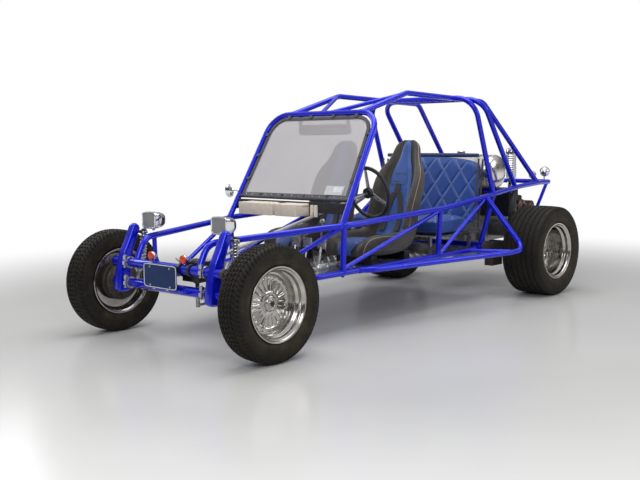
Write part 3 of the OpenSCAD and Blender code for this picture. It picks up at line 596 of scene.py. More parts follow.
CAST = Finish("cast_aluminium", "#8b8a88", "#a2a09d", 30, 0.46, 0.1, 0.85,
              grain=Grain.PEEL, grain_mm=1.5, relief=0.5)
CHROME = Finish("chrome_plate", "#c9cacc", "#d8d9da", 200, 0.06, 0.03, 1.0,
                grain=Grain.PEEL, grain_mm=30, relief=0.03)
ZINC = Finish("zinc_plated_steel", "#a9a9a8", "#c4c4c2", 25, 0.3, 0.08, 0.95,
              grain=Grain.PEEL, grain_mm=1, relief=0.15)
IRON = Finish("cast_iron", "#3b3733", "#554c44", 22, 0.62, 0.1, 0.5,
              grain=Grain.PEEL, grain_mm=1.6, relief=0.6)
BLACK = Finish("satin_black_paint", "#17181a", "#232427", 70, 0.38, 0.1, specular=0.45,
               grain=Grain.PEEL, grain_mm=2, relief=0.12)
MOULDED = Finish("black_moulded_plastic", "#1b1b1c", "#262627", 50, 0.5, 0.08,
                 grain=Grain.PEBBLE, grain_mm=1.4, relief=0.2)
EDGE_RUBBER = Finish("window_edge_rubber", "#3b3b41", "#48484f", 60, 0.5, 0.08,
                     grain=Grain.PEEL, grain_mm=1.5, relief=0.2)
SHEET = ClearSheet("clear_acrylic_sheet", "#bfbdc0", "#c6c4c7", 400, 0.18, 0.03, specular=0.4)
CREAM = Finish("aged_cream_plastic", "#e0d6c8", "#d6cab8", 35, 0.55, 0.1,
               grain=Grain.PEEL, grain_mm=1.2, relief=0.2)
BLUE_VINYL = Finish("blue_seat_vinyl", "#2c4f92", "#345ba4", 90, 0.42, 0.07, specular=0.45, sheen=0.1,
                    grain=Grain.PEBBLE, grain_mm=1.6, relief=0.28)
QUILT_VINYL = QuiltVinyl("blue_diamond_quilt", "#1a3f86", "#234d9a", 70, 0.45, 0.07,
                         specular=0.45, sheen=0.15, grain=Grain.PEBBLE, grain_mm=1.4, relief=0.25)
GREY_VINYL = Finish("charcoal_seat_vinyl", "#37342f", "#47423b", 60, 0.5, 0.08, specular=0.4, sheen=0.1,
                    grain=Grain.PEBBLE, grain_mm=1.6, relief=0.3)
NAVY_VINYL = Finish("navy_edge_vinyl", "#1b2c57", "#233768", 50, 0.48, 0.07,
                    grain=Grain.PEBBLE, grain_mm=1.4, relief=0.25)
WEBBING = Finish("nylon_webbing", "#211f1d", "#2d2a27", 12, 0.72, 0.06, sheen=0.3,
                 grain=Grain.BRUSHED, grain_mm=1.2, relief=0.5, stretch=(1, 1, 4))
TREAD = TreadPlate("tread_plate", "#b9b8b5", "#a5a4a1", 60, 0.3, 0.1, 0.95,
                   grain=Grain.BRUSHED, grain_mm=0.9, relief=0.15, stretch=(1, 12, 1))
HEADER = HeatTint("heat_tinted_bronze", "#8a6a3c", "#3f3436", 60, 0.34, 0.08, 0.9,
                  grain=Grain.PEEL, grain_mm=2, relief=0.15)
PLATE_BLUE = Finish("plate_enamel_blue", "#0b2a5c", "#0d2f66", 90, 0.42, 0.05, specular=0.25)
PLATE_WHITE = Finish("plate_enamel_white", "#dfe3e8", "#cfd4da", 40, 0.35, 0.05)
CAP_RED = Finish("red_oxide_primer", "#6b3a34", "#54302c", 12, 0.6, 0.1,
                 grain=Grain.PEEL, grain_mm=2, relief=0.4)
ORANGE = Finish("orange_lens", "#d83a06", "#e2420a", 30, 0.18, 0.04, coat=0.5)
RED_LENS = Finish("red_lens", "#c4161a", "#cc1c1e", 30, 0.2, 0.04, coat=0.5)
CLEAR_LENS = LampGlass("clear_lens", "#f2f4f4", "#ffffff", 60, 0.06, 0.02, coat=0.4)
BEIGE = Finish("beige_plastic", "#a39787", "#94897a", 40, 0.5, 0.08,
               grain=Grain.PEEL, grain_mm=1.5, relief=0.15)
MIRROR = Finish("mirror_glass", "#d6d9db", "#d6d9db", 500, 0.02, 0.01, 1.0)
LABEL = Finish("paper_label", "#c8c8cc", "#bdbdc2", 30, 0.6, 0.05)
REFLECTOR = Finish("lamp_reflector", "#7d7c76", "#b9b7ae", 24, 0.22, 0.06, 0.9)
BLUE_ANODISED = Finish("blue_anodised_aluminium", "#2038a8", "#2a46c4", 60, 0.25, 0.05, 0.9)
GAUGE_FACE = Finish("gauge_face", "#101012", "#18181a", 30, 0.3, 0.05, coat=0.6)
SHAFT_GREY = Finish("grey_shaft_enamel", "#9b9a97", "#a9a7a3", 40, 0.36, 0.06, 0.25)


# ---- Cage ----


def helper(direction: Array) -> Array:
    """A direction square to the given one."""
    return unit(np.cross(direction, np.eye(3)[int(np.argmin(abs(direction)))]))


def along(x: float, path: Any, i: int) -> Array:
    """The point at station x on the straight length i of a path."""
    return mix(path[i], path[i + 1], (x - path[i][0]) / (path[i + 1][0] - path[i][0]))


def arch(foot: Any, corner: Any) -> list[Any]:
    """A hoop from its left foot over two corners to its right foot."""
    return [foot, corner, mirror_y(corner), mirror_y(foot)]


UPPER = [(1560, 285, 475), (1490, 285, 622), (540, 530, 665), (-440, 530, 702), (-1050, 500, 755),
         (-1550, 443, 793), (-1960, 394, 805), (-2042, 385, 803)]
LOWER = [(1560, 300, 355), (1343, 300, 360), (820, 500, 372), (-850, 500, 372), (-1010, 390, 372)]
SIDE = [(450, 500, 372), (370, 562, 372), (-860, 800, 372), (-1020, 806, 378), (-984, 503.2, 749.3)]
ROOF = [(190, 311, 1354), (-300, 308, 1489), (-1250, 302, 1445), (-1900, 401.2, 803.2)]
SCREEN = arch((612, 511.4, 661.7), (200, 473.4, 1354))
MAIN = arch((-1100, 494.3, 758.8), (-854, 484.3, 1463.3))
REAR = arch((-1480, 451, 787.7), (-995, 463, 1456.8))
TAIL = arch((-2042.8, 385, 803), (-2182, 370, 800))
GUARD = [(-2100, 376, 803), (-2062, 310, 600), (-1962, 280, 296),
         (-1962, -280, 296), (-2062, -310, 600), (-2100, -376, 803)]


@dataclass(frozen=True)
class Tube:
    """One bent tube: corners of its middle line, radius, bend radius, and whether it has a mirror twin."""

    path: Any
    r: float = 19.0
    bend: float = 100.0
    twin: bool = False
    welded: tuple[bool, bool] = (True, True)

    def lines(self) -> list[Array]:
        """The corners of this tube, and of its twin."""
        p = np.asarray(self.path, float)
        return [p, mirror_y(p)] if self.twin else [p]


@dataclass
class Cage:
    """The welded tube frame, node by node as in the CAD frame."""

    light: float = 14.0
    bead: float = 3.2
    ripple: float = 0.16

    def members(self) -> dict[str, list[Tube]]:
        """The tubes of every cage node."""
        light = self.light
        return {
            "lower_rails": [Tube(LOWER, twin=True)],
            "upper_rails": [Tube(UPPER, twin=True, welded=(True, False))],
            "side_bars": [Tube(SIDE, bend=80, twin=True),
                          Tube([(-780, 500, 372), (-908, 801.8, 373.8)], light, twin=True)],
            "tail_bar": [Tube(TAIL, bend=90, welded=(False, False))],
            "windshield_hoop": [Tube(SCREEN, bend=150)],
            "roof_rails": [Tube(ROOF, bend=120, twin=True),
                           Tube([(200, 28, 1354), (-280, 308, 1484)], light, twin=True)],
            "main_hoop": [Tube(MAIN, bend=145)],
            "rear_hoop": [Tube(REAR, bend=124), Tube([(-1410, 459, 763.7), (-1410, -459, 763.7)], light)],
            "side_uprights": [Tube([(600, 500, 372), (600, 514.5, 662.3)], twin=True),
                              Tube([(-392, 500, 372), (-380, 530, 699.7)], twin=True),
                              Tube([(-1010, 438, 372), (-1100, 494.3, 758.8)], twin=True)],
            "side_diagonals": [Tube([(586, 500, 397), (-374, 530, 689.7)], light, twin=True),
                               Tube([(-392, 500, 372), along(-1000, UPPER, 3)], light, twin=True),
                               Tube([(612, 507.4, 653.7), along(1245, LOWER, 1)], light, twin=True)],
            "floor_tubes": [Tube([(600, 500, 360), (600, -500, 360)], light),
                            Tube([(-392, 500, 360), (-392, -500, 360)], light),
                            Tube([(1188.5, 359, 360), (1188.5, -359, 360)], light),
                            Tube([(-1010, 85, 360), (1160, 85, 360)], light, twin=True),
                            Tube([(1403, 300, 358.6), (1403, 307.4, 626)], light, twin=True)],
            "engine_guard": [Tube(GUARD, light, 60)],
            "torsion_housing": [Tube([(-1010, 480, 372), (-1010, -480, 372)], 38, welded=(False, False))],
        }

    def parents(self) -> list[tuple[Array, Array, float]]:
        """Every straight length that another tube may be welded to: two ends and a radius."""
        found = [(a, b, t.r) for tubes in self.members().values() for t in tubes
                 for p in t.lines() for a, b in zip(p[:-1], p[1:])]
        beam = [np.array([1560.0, 490, z]) for z in (355, 475)]
        return found + [(b, mirror_y(b), 27.0) for b in beam]

    def weld(self, shape: Shape, end: Array, inner: Array, r: float) -> None:
        """Lays a rippled bead where a tube meets the round of its parent.

        The tube's surface lines q + s t leave the parent where |w + s u|^2 = R^2, with w and u the
        parts of q and t square to the parent's line; the bead is a closed tube along those points.
        """
        t = unit(inner - end)
        best, low = None, 26.0
        for a, b, radius in self.parents():
            d = unit(b - a)
            share = float(np.clip((end - a) @ (b - a) / ((b - a) @ (b - a)), 0, 1))
            gap = float(np.linalg.norm(end - mix(a, b, share)))
            if gap < low and abs(float(d @ t)) < 0.95:
                best, low = (a, d, radius), gap
        if best is None:
            return
        a, d, radius = best
        count = int(r * 7)
        angle = np.arange(count) / count * TAU
        first = helper(t)
        second = np.cross(t, first)
        q = end + r * (np.cos(angle)[:, None] * first + np.sin(angle)[:, None] * second)
        w, u = (q - a) - ((q - a) @ d)[:, None] * d, t - (t @ d) * d
        square, half = float(u @ u), w @ u
        root = np.sqrt(np.maximum(half ** 2 - square * ((w * w).sum(1) - radius ** 2), 0))
        line = q + ((root - half) / square)[:, None] * t
        ripples = 1 + self.ripple * np.sin(angle * int(r * 1.2))
        shape.grid(sweep(line, ring(self.bead, 7), ripples, True, side=t), wrap_u=True, slot=1)

    def build(self) -> None:
        """Makes every node of the cage."""
        for node, tubes in self.members().items():
            shape = Shape()
            for tube in tubes:
                for p in tube.lines():
                    shape.tube(rounded(p, tube.bend), tube.r, 28 if tube.r > 15 else 22)
                    for n, (end, inner) in enumerate(((p[0], p[1]), (p[-1], p[-2]))):
                        if tube.welded[n]:
                            self.weld(shape, end, inner, tube.r)
            shape.build(node + "_tubes", "chassis", "frame_paint", (PAINT, WELD), (node,), 40)


# ---- Wheels ----


def dense(profile: Any, step: float, closed: bool = False) -> Array:
    """The profile with points no further apart than a step on its straight lengths."""
    p = np.asarray(profile, float)
    ends = np.roll(p, -1, 0) if closed else p[1:]
    parts = [np.linspace(a, b, max(1, math.ceil(np.linalg.norm(b - a) / step)), endpoint=False)
             for a, b in zip(p, ends)]
    return np.concatenate(parts if closed else parts + [p[-1:]])


def eased(profile: Any, rounds: int = 2, closed: bool = True) -> Array:
    """Corner cutting: each side keeps its points at 1/4 and 3/4, again and again."""
    p = np.asarray(profile, float)
    for _ in range(rounds):
        n = np.roll(p, -1, 0)
        q = np.stack([0.75 * p + 0.25 * n, 0.25 * p + 0.75 * n], 1).reshape(-1, *p.shape[1:])
        p = q if closed else np.concatenate([p[:1], q[1:-3], p[-1:]])
    return p


@dataclass
class Tyre:
    """A tyre about its axle: rubber walls, and a tread of ribs cut by grooves.

    grooves are shares of the half tread; pitch and cut count columns of the round grid.
    """

    r: float
    w: float
    rim_w: float
    grooves: tuple[float, ...]
    pitch: int
    cut: int
    columns: int
    depth: float = 6.5
    groove: float = 3.4
    cross_depth: float = 0.8
    skew: float = 0.05
    bead_r: float = 190.5

    def rows(self) -> tuple[Array, Array]:
        """The section from one bead over the crown to the other, and how far each row is tread."""
        r, w, b = self.r, self.w / 2, self.bead_r
        half = w - 17
        wall = [(r - 5, half), (r - 11, w - 9), (r - 32, w - 2), (b + 78, w), (b + 60, w), (b + 45, w - 2),
                (b + 27, w - 9), (b + 18, self.rim_w / 2 - 12), (b + 1, self.rim_w / 2 - 14.5)]
        wall = dense(eased(wall, 2, False), 5.5)
        cuts = [g * half + s * k
                for g in self.grooves for s in (-1, 1) for k in (self.groove, self.groove - 1.3)]
        across = np.unique(np.concatenate([np.linspace(-half, half, 22), cuts]).round(2))
        across = across[(across > -half) & (across < half)]
        tread = np.stack([r - 5 * abs(across / half) ** 3, across], 1)
        section = np.concatenate([(wall * (1, -1))[::-1], tread, wall])
        share = np.concatenate([np.zeros(len(wall)), np.ones(len(tread)), np.zeros(len(wall))])
        return section, share

    def build(self, centre: Any, side: int, name: str, body: str, node: str) -> None:
        """Makes the tyre.

        point(i, j) = section(i) - depth(i, j) n(i), turned by angle(j) about the axle, with n the
        section's outward normal and depth the larger of the rib grooves and the staggered cross cuts.
        """
        section, tread = self.rows()
        step = np.gradient(section, axis=0)
        normal = unit(np.stack([step[:, 1], -step[:, 0]], 1))
        half = self.w / 2 - 17
        y, columns = section[:, 1], np.arange(self.columns)
        off = np.min([abs(y - g * half) for g in self.grooves], 0)
        groove = np.clip((self.groove - off) / 1.3, 0, 1) * tread
        rib = np.sum([y > g * half for g in self.grooves], 0)
        lean = np.round(abs(y) * self.skew * 4).astype(int)
        phase = columns[None] + lean[:, None] + (rib * (self.pitch // 2))[:, None]
        lug = ((phase % self.pitch) < self.cut).astype(float)
        shoulder = smooth((section[:, 0] - (self.r - 42)) / 22)
        cross = lug * np.where(tread > 0, self.cross_depth, shoulder * 0.7 * (abs(y) > half))[:, None]
        depth = self.depth * np.maximum(groove[:, None], cross)
        wall = abs(y) >= half
        ribs = 0.7 * (bump_at(section[:, 0], self.bead_r + 31, 2.2)
                      + bump_at(section[:, 0], self.bead_r + 74, 2.0)
                      + bump_at(section[:, 0], self.bead_r + 84, 2.0)) * wall
        depth = depth + (0.75 - ribs)[:, None] * wall[:, None]
        p = section[:, None] - depth[..., None] * normal[:, None]
        a = columns / self.columns * TAU
        grid = np.stack([p[..., 0] * np.cos(a), p[..., 1] * side, p[..., 0] * np.sin(a)], -1)
        grid = grid + np.asarray(centre)
        piece = Shape().grid(grid, wrap_u=True).build(name, body, "tyre_rubber", (RUBBER,), (node,), 30)
        at = coordinates(piece.data) - place(centre)
        off_axle = np.hypot(at[:, 0], at[:, 2]) * 1000
        share = smooth((self.r - 12 - off_axle) / 26)
        share = share * (0.35 + 0.65 * bump_at(off_axle, self.bead_r + 26, 34))
        share = np.maximum(share, 0.22 * (off_axle > self.r - 14))
        browned = piece.data.attributes.new("wall", "FLOAT", "POINT")
        browned.data.foreach_set("value", share.astype(np.float32))


@dataclass
class Wheel:
    """A polished rim with its disc, hub and brake drum, and the tyre on it."""

    axle_x: float
    track: float
    r: float
    rim_w: float
    disc: float
    tyre: Tyre
    place_name: str
    hub: float
    drum_in: float
    flutes: int = 22
    flute: float = 3.6
    reach: float = 1.0
    rim_r: float = 190.5
    hub_r: float = 43.7
    drum_r: float = 121.0

    def section(self) -> Array:
        """The rim's closed section as radius and distance outwards, its corners eased."""
        w, r, d = self.rim_w / 2, self.rim_r, self.disc
        loop = [(r + 17, w), (r + 17, w - 5), (r + 4, w - 10), (r, w - 14), (r, w - 38), (r - 14, w - 50),
                (r - 14, -w + 50), (r, -w + 38), (r, -w + 14), (r + 4, -w + 10), (r + 17, -w + 5),
                (r + 17, -w), (r + 8, -w), (r - 6, -w + 12), (r - 6, -w + 36), (r - 20, -w + 50),
                (r - 20, d - 15), (r - 34, d - 14), (self.hub_r + 1, d - 12), (self.hub_r + 1, d + 5),
                (60, d + 5), (66, d + 2), (130, d - 1), (136, d + 3), (r - 40, d + 3), (r - 32, d - 4),
                (r - 20, d - 2), (r - 20, w - 50), (r - 6, w - 36), (r - 6, w - 15),
                (r + 2, w - 9), (r + 8, w)]
        return dense(eased(dense(loop, 8, True), 1), 5.5, True)

    def rim(self, shape: Shape, centre: Array, side: int) -> None:
        """The turned rim, its disc pressed into a sunburst: y grows by a cos(n angle) between two radii."""
        count = self.flutes * 12
        grid = lathe(self.section(), (0, 0, 0), "y", count)
        r = np.hypot(grid[..., 0], grid[..., 2])
        outer = smooth((grid[..., 1] - self.disc + 6) / 5) * (grid[..., 1] < self.disc + 12)
        window = smooth((r - 58) / 44) * smooth((132 - r) / 9)
        window = window + 0.5 * smooth((r - 139) / 5) * smooth((157 - r) / 8)
        wave = np.cos(np.arange(count) / count * TAU * self.flutes)
        grid[..., 1] += self.flute * outer * window * (wave[None] - 0.6)
        shape.grid(grid * (1, side, 1) + centre, wrap_u=True)

    def fittings(self, shape: Shape, centre: Array, side: int) -> None:
        """The ringed hub, wheel bolts, valve stem, drum with cooling grooves and bolt-on cap."""
        d = self.disc
        hub = [(1, d + 26), (17, d + 25), (20, d + 22), (21, d + 18), (27, d + 17), (29, d + 20),
               (34, d + 20), (36, d + 16), (42, d + 14), (43, d + 6), (58, d + 4.5), (60, d - 2), (1, d - 2)]
        hub = [(r, d + (y - d) * self.reach) for r, y in hub]
        shape.turned(dense(eased(hub, 1, False), 3), centre, side=side, count=64)
        tip = d + 20 * self.reach
        shape.turned([(1, tip + 7.5), (12, tip + 7), (15.5, tip + 5.5), (16, tip), (1, tip)], centre,
                     side=side, count=40, slot=1)
        for k in range(5):
            a = TAU * (k + 0.25) / 5
            at = centre + np.array([51 * math.cos(a), side * (d + 4), 51 * math.sin(a)])
            shape.bolt(at, (0, side, 0), 6.5, 2)
        a = math.radians(52)
        foot = centre + np.array([161 * math.cos(a), side * (d + 1), 161 * math.sin(a)])
        shape.pin(foot, foot + np.array([2, side * 30, 3]), 3.4, 12, 2)
        shape.pin(foot, foot + np.array([0, side * 7, 0]), 6.5, 14, 1, 2)
        teeth = [(self.drum_r - (3 if k % 2 else 0), self.drum_in + 6 + 5 * k)
                 for k in range(max(2, int((d - 22 - self.drum_in) / 5)))]
        drum = [(30, self.drum_in), (self.drum_r, self.drum_in), *teeth,
                (self.drum_r - 2, d - 16), (30, d - 15)]
        shape.turned(drum, centre, side=side, count=96, slot=3)

    def build(self) -> None:
        """Makes both wheels of the axle."""
        for side, word in SIDES:
            centre = np.array([self.axle_x, side * self.track / 2, self.r])
            body = f"wheel_{self.place_name}_{word}"
            shape = Shape()
            self.rim(shape, centre, side)
            self.fittings(shape, centre, side)
            if self.place_name == "rear":
                shape.pin(centre + (0, -side * 205, 0), centre + (0, -side * 138, 0), 20, 32, 2)
            shape.build(f"{self.place_name}_rim_{word}", body, "polished_aluminium",
                        (POLISHED, BLACK, ZINC, IRON), (f"rim_{self.place_name}_{word}",), 42)
            self.tyre.build(centre, side, f"{self.place_name}_tyre_{word}", body,
                            f"tyre_{self.place_name}_{word}")


def make_wheels() -> None:
    """The narrow front wheels and the wide rear ones."""
    front = Tyre(321, 165, 143, (-0.56, -0.19, 0.19, 0.56), 8, 2, 576)
    rear = Tyre(331, 305, 272, (-0.78, -0.47, -0.16, 0.16, 0.47, 0.78), 8, 1, 560,
                groove=4.2, cross_depth=0.6)
    Wheel(1420, 1404, 321, 143, -8, front, "front", 22, -64).build()
    Wheel(-1420, 1430, 331, 272, -36, rear, "rear", 4, -138, reach=2.3).build()


# ---- Seats ----


def puff(piece: bpy.types.Object, voxel: float, cap: float, pressure: float = 4.0) -> None:
    """Fills a cushion by a cloth simulation whose result is kept in its mesh.

    The mesh is remeshed to voxels, swells under pressure for twenty frames without gravity, and no
    point moves further than the cap. Both lengths are in millimetres.
    """
    remesh = piece.modifiers.new("even_cloth", "REMESH")
    remesh.mode, remesh.voxel_size = "VOXEL", voxel / 1000
    apply_modifiers(piece)
    start = coordinates(piece.data)
    cloth = piece.modifiers.new("filling", "CLOTH")
    cloth.settings.use_pressure = True
    cloth.settings.uniform_pressure_force = pressure
    cloth.settings.effector_weights.gravity = 0
    cloth.settings.quality = 4
    for step in range(1, 21):
        bpy.context.scene.frame_set(step)
    swollen = coordinates(piece.evaluated_get(bpy.context.evaluated_depsgraph_get()).data)
    piece.modifiers.clear()
    bpy.context.scene.frame_set(1)
    move = swollen - start
    length = np.linalg.norm(move, axis=1, keepdims=True)
    move *= np.minimum(1, cap / 1000 / np.maximum(length, 1e-9))
    piece.data.vertices.foreach_set("co", (start + move).ravel())
    piece.data.update()


def coordinates(mesh: bpy.types.Mesh) -> Array:
    """The places of a mesh's vertices."""
    co = np.empty(len(mesh.vertices) * 3)
    mesh.vertices.foreach_get("co", co)
    return co.reshape(-1, 3)


def apply_modifiers(piece: bpy.types.Object) -> None:
    """Puts what a piece's modifiers make into its mesh."""
    bpy.context.view_layer.update()
    mesh = bpy.data.meshes.new_from_object(piece.evaluated_get(bpy.context.evaluated_depsgraph_get()))
    piece.modifiers.clear()
    piece.data = mesh


def subdivide(piece: bpy.types.Object) -> None:
    """One level of subdivision, put into the mesh."""
    piece.modifiers.new("soft_skin", "SUBSURF").levels = 1
    apply_modifiers(piece)


def loose(shape: Shape, name: str) -> bpy.types.Object:
    """A piece that isn't handed to the frame yet."""
    piece = bpy.data.objects.new(name, shape.mesh(name))
    bpy.context.scene.collection.objects.link(piece)
    return piece


@dataclass
class Seat:
    """A bucket seat: one shell from the thigh edge to the head, a long centre pad and a harness.

    stations holds, along the middle of the sitting face, x and z, half width, bolster height and
    shell thickness.
    """

    x: float = 40.0
    y: float = 285.0
    stations: tuple[tuple[float, ...], ...] = (
        (288, 430, 150, 8, 20), (292, 470, 172, 20, 42), (262, 516, 182, 34, 78), (180, 522, 190, 48, 92),
        (40, 506, 196, 62, 82), (-80, 494, 198, 76, 66), (-160, 512, 198, 88, 44), (-206, 580, 196, 96, 38),
        (-240, 680, 186, 92, 34), (-272, 790, 192, 84, 32), (-304, 890, 194, 66, 30),
        (-330, 965, 172, 44, 28), (-350, 1020, 132, 26, 28), (-366, 1070, 112, 18, 28), (-382, 1120, 100, 13, 28),
        (-394, 1152, 76, 8, 24), (-400, 1168, 44, 3, 14))

    def rails(self, step: float = 9.0) -> tuple[Array, Array, Array]:
        """Smooth stations: the middle line, the direction out of the sitting face, and the sizes."""
        s = np.array(self.stations, float)
        way = np.concatenate([[0], np.cumsum(np.linalg.norm(np.diff(s[:, :2], axis=0), axis=1))])
        s = dense(eased(np.column_stack([s, way]), 3, False), step)
        turn = unit(np.gradient(s[:, :2], axis=0))
        out = np.stack([turn[:, 1], np.zeros(len(s)), -turn[:, 0]], 1)
        line = np.stack([s[:, 0] + self.x, np.zeros(len(s)), s[:, 1]], 1)
        return line, out, s[:, 2:]

    def skin(self, y: Array, n: Array) -> Array:
        """Points line(i) + y(i, j) sideways + n(i, j) out of the sitting face."""
        line, out, _ = self.rails()
        return line[:, None] + y[..., None] * np.array([0.0, 1, 0]) + n[..., None] * out[:, None]

    def shell(self) -> Array:
        """The closed shell: flat in the middle, bolsters at the sides, and a rounded back."""
        _, _, sizes = self.rails()
        w, b, t = sizes[:, 0], sizes[:, 1], sizes[:, 2]
        half = [(0.0, 0, 0), (0.3, 0, 0), (0.5, 0, 0), (0.6, 0.2, 0), (0.7, 0.75, 0), (0.84, 1, 0),
                (0.95, 0.95, 0), (1.0, 0.6, 0), (1.0, 0, 0.3), (0.95, 0, 0.75), (0.8, 0, 1), (0.4, 0, 1.05)]
        y = np.array([k[0] * w for k in half])
        n = np.array([k[1] * b - k[2] * t for k in half])
        y, n = np.concatenate([y, -y[:0:-1]]), np.concatenate([n, n[:0:-1]])
        both = eased(np.stack([y, n], -1), 2)
        return self.skin(both[..., 0].T, both[..., 1].T)

    def pad(self, low: float = 0.0, high: float = 12.0) -> Array:
        """The centre pad: a flat oval section, 0.56 of the half width each way, closed at both ends."""
        _, _, sizes = self.rails()
        oval = ring(1.0, 40, 3.2)
        share = np.sin(np.linspace(0.16, math.pi - 0.2, len(sizes))) ** 0.25
        y = 0.57 * sizes[:, :1] * share[:, None] * oval[:, 0]
        return self.skin(y, (low + high) / 2 + (high - low) / 2 * oval[:, 1] * np.ones_like(y))

    def strap(self, shape: Shape, stops: Sequence[tuple[float, float, float]], width: float,
              slot: int = 0) -> None:
        """A flat strap through stops of height, sideways place and lift off the sitting face."""
        line, out, _ = self.rails()
        s = dense(np.array(stops, float), 12)
        back = line[:, 0] < self.x - 120
        i = np.interp(s[:, 0], line[back][:, 2], np.flatnonzero(back))
        near = np.round(i).astype(int)
        p = line[near] + s[:, 1:2] * np.array([0.0, 1, 0]) + s[:, 2:] * out[near]
        p[:, 2] = s[:, 0] + s[:, 2] * out[near][:, 2]
        oval = ring(1.0, 12, 6.0) * (width / 2, 1.3)
        shape.grid(sweep(p, oval, side=np.array([0.0, 1, 0])), slot=slot)

    def slots(self, shape: Shape) -> None:
        """Two rimmed slots in the upper back for the harness."""
        line, out, _ = self.rails()
        for z, half, tall in ((930, 46, 6), (868, 52, 13)):
            i = int(np.argmin(abs(line[:, 2] - z) + 1000 * (line[:, 0] > self.x - 150)))
            up = np.cross(out[i], (0.0, 1, 0))
            oval = ring(1.0, 44, 3.5) * (half, tall)
            rim = line[i] + 19 * out[i] + oval[:, :1] * np.array([0.0, 1, 0]) + oval[:, 1:] * up
            shape.prism(rim - 16 * out[i], 14.5 * out[i], 1)
            shape.tube(rim, 2.6, 8, 1, closed=True)

    def build(self) -> None:
        """Makes both seats."""
        for side, word in SIDES:
            move = np.array([0.0, side * self.y, 0])
            Shape().grid(self.shell() + move).build(
                f"seat_shell_{word}", "chassis", "seat_vinyl", (GREY_VINYL,), (f"seat_{word}",), 60)
            trim = Shape()
            self.strap(trim, [(866, 0, 26), (800, 0, 25)], 50)
            for k in (-1, 1):
                self.strap(trim, [(802, 20 * k, 24), (770, 34 * k, 25), (690, 56 * k, 25), (600, 62 * k, 27),
                                  (540, 60 * k, 34)], 44)
            self.slots(trim)
            trim.box((self.x - 70, -34, 520), (self.x - 10, 34, 546), 2)
            _, _, sizes = self.rails()
            for k in (-1, 1):
                trim.tube(self.skin(k * sizes[:, :1] * 0.985, sizes[:, 1:2] * 0.72)[4:-6, 0], 2.4, 8, 3)
            trim.points = [p + move for p in trim.points]
            trim.build(f"seat_harness_{word}", "chassis", "seat_vinyl",
                       (WEBBING, MOULDED, CHROME, BEIGE), (), 40)
        base = Shape()
        for side, _ in SIDES:
            for x in (self.x - 200, self.x + 150):
                base.box((x, side * self.y - 150, 378), (x + 60, side * self.y + 150, 432))
        base.build("seat_stands", "chassis", "black_paint", (BLACK,), (), bevel=4)
        pad = loose(Shape().grid(self.pad() + (0, self.y, 0)), "seat_pad_left")
        puff(pad, 6, 9)
        subdivide(pad)
        other = pad.data.copy()
        other.vertices.foreach_set("co", (coordinates(pad.data) * (1, -1, 1)).ravel())
        tidy(other, 1e-6)
        twin = bpy.data.objects.new("seat_pad_right", other)
        bpy.context.scene.collection.objects.link(twin)
        for piece in (pad, twin):
            finish_piece(piece, "chassis", (BLUE_VINYL,), (), 180)


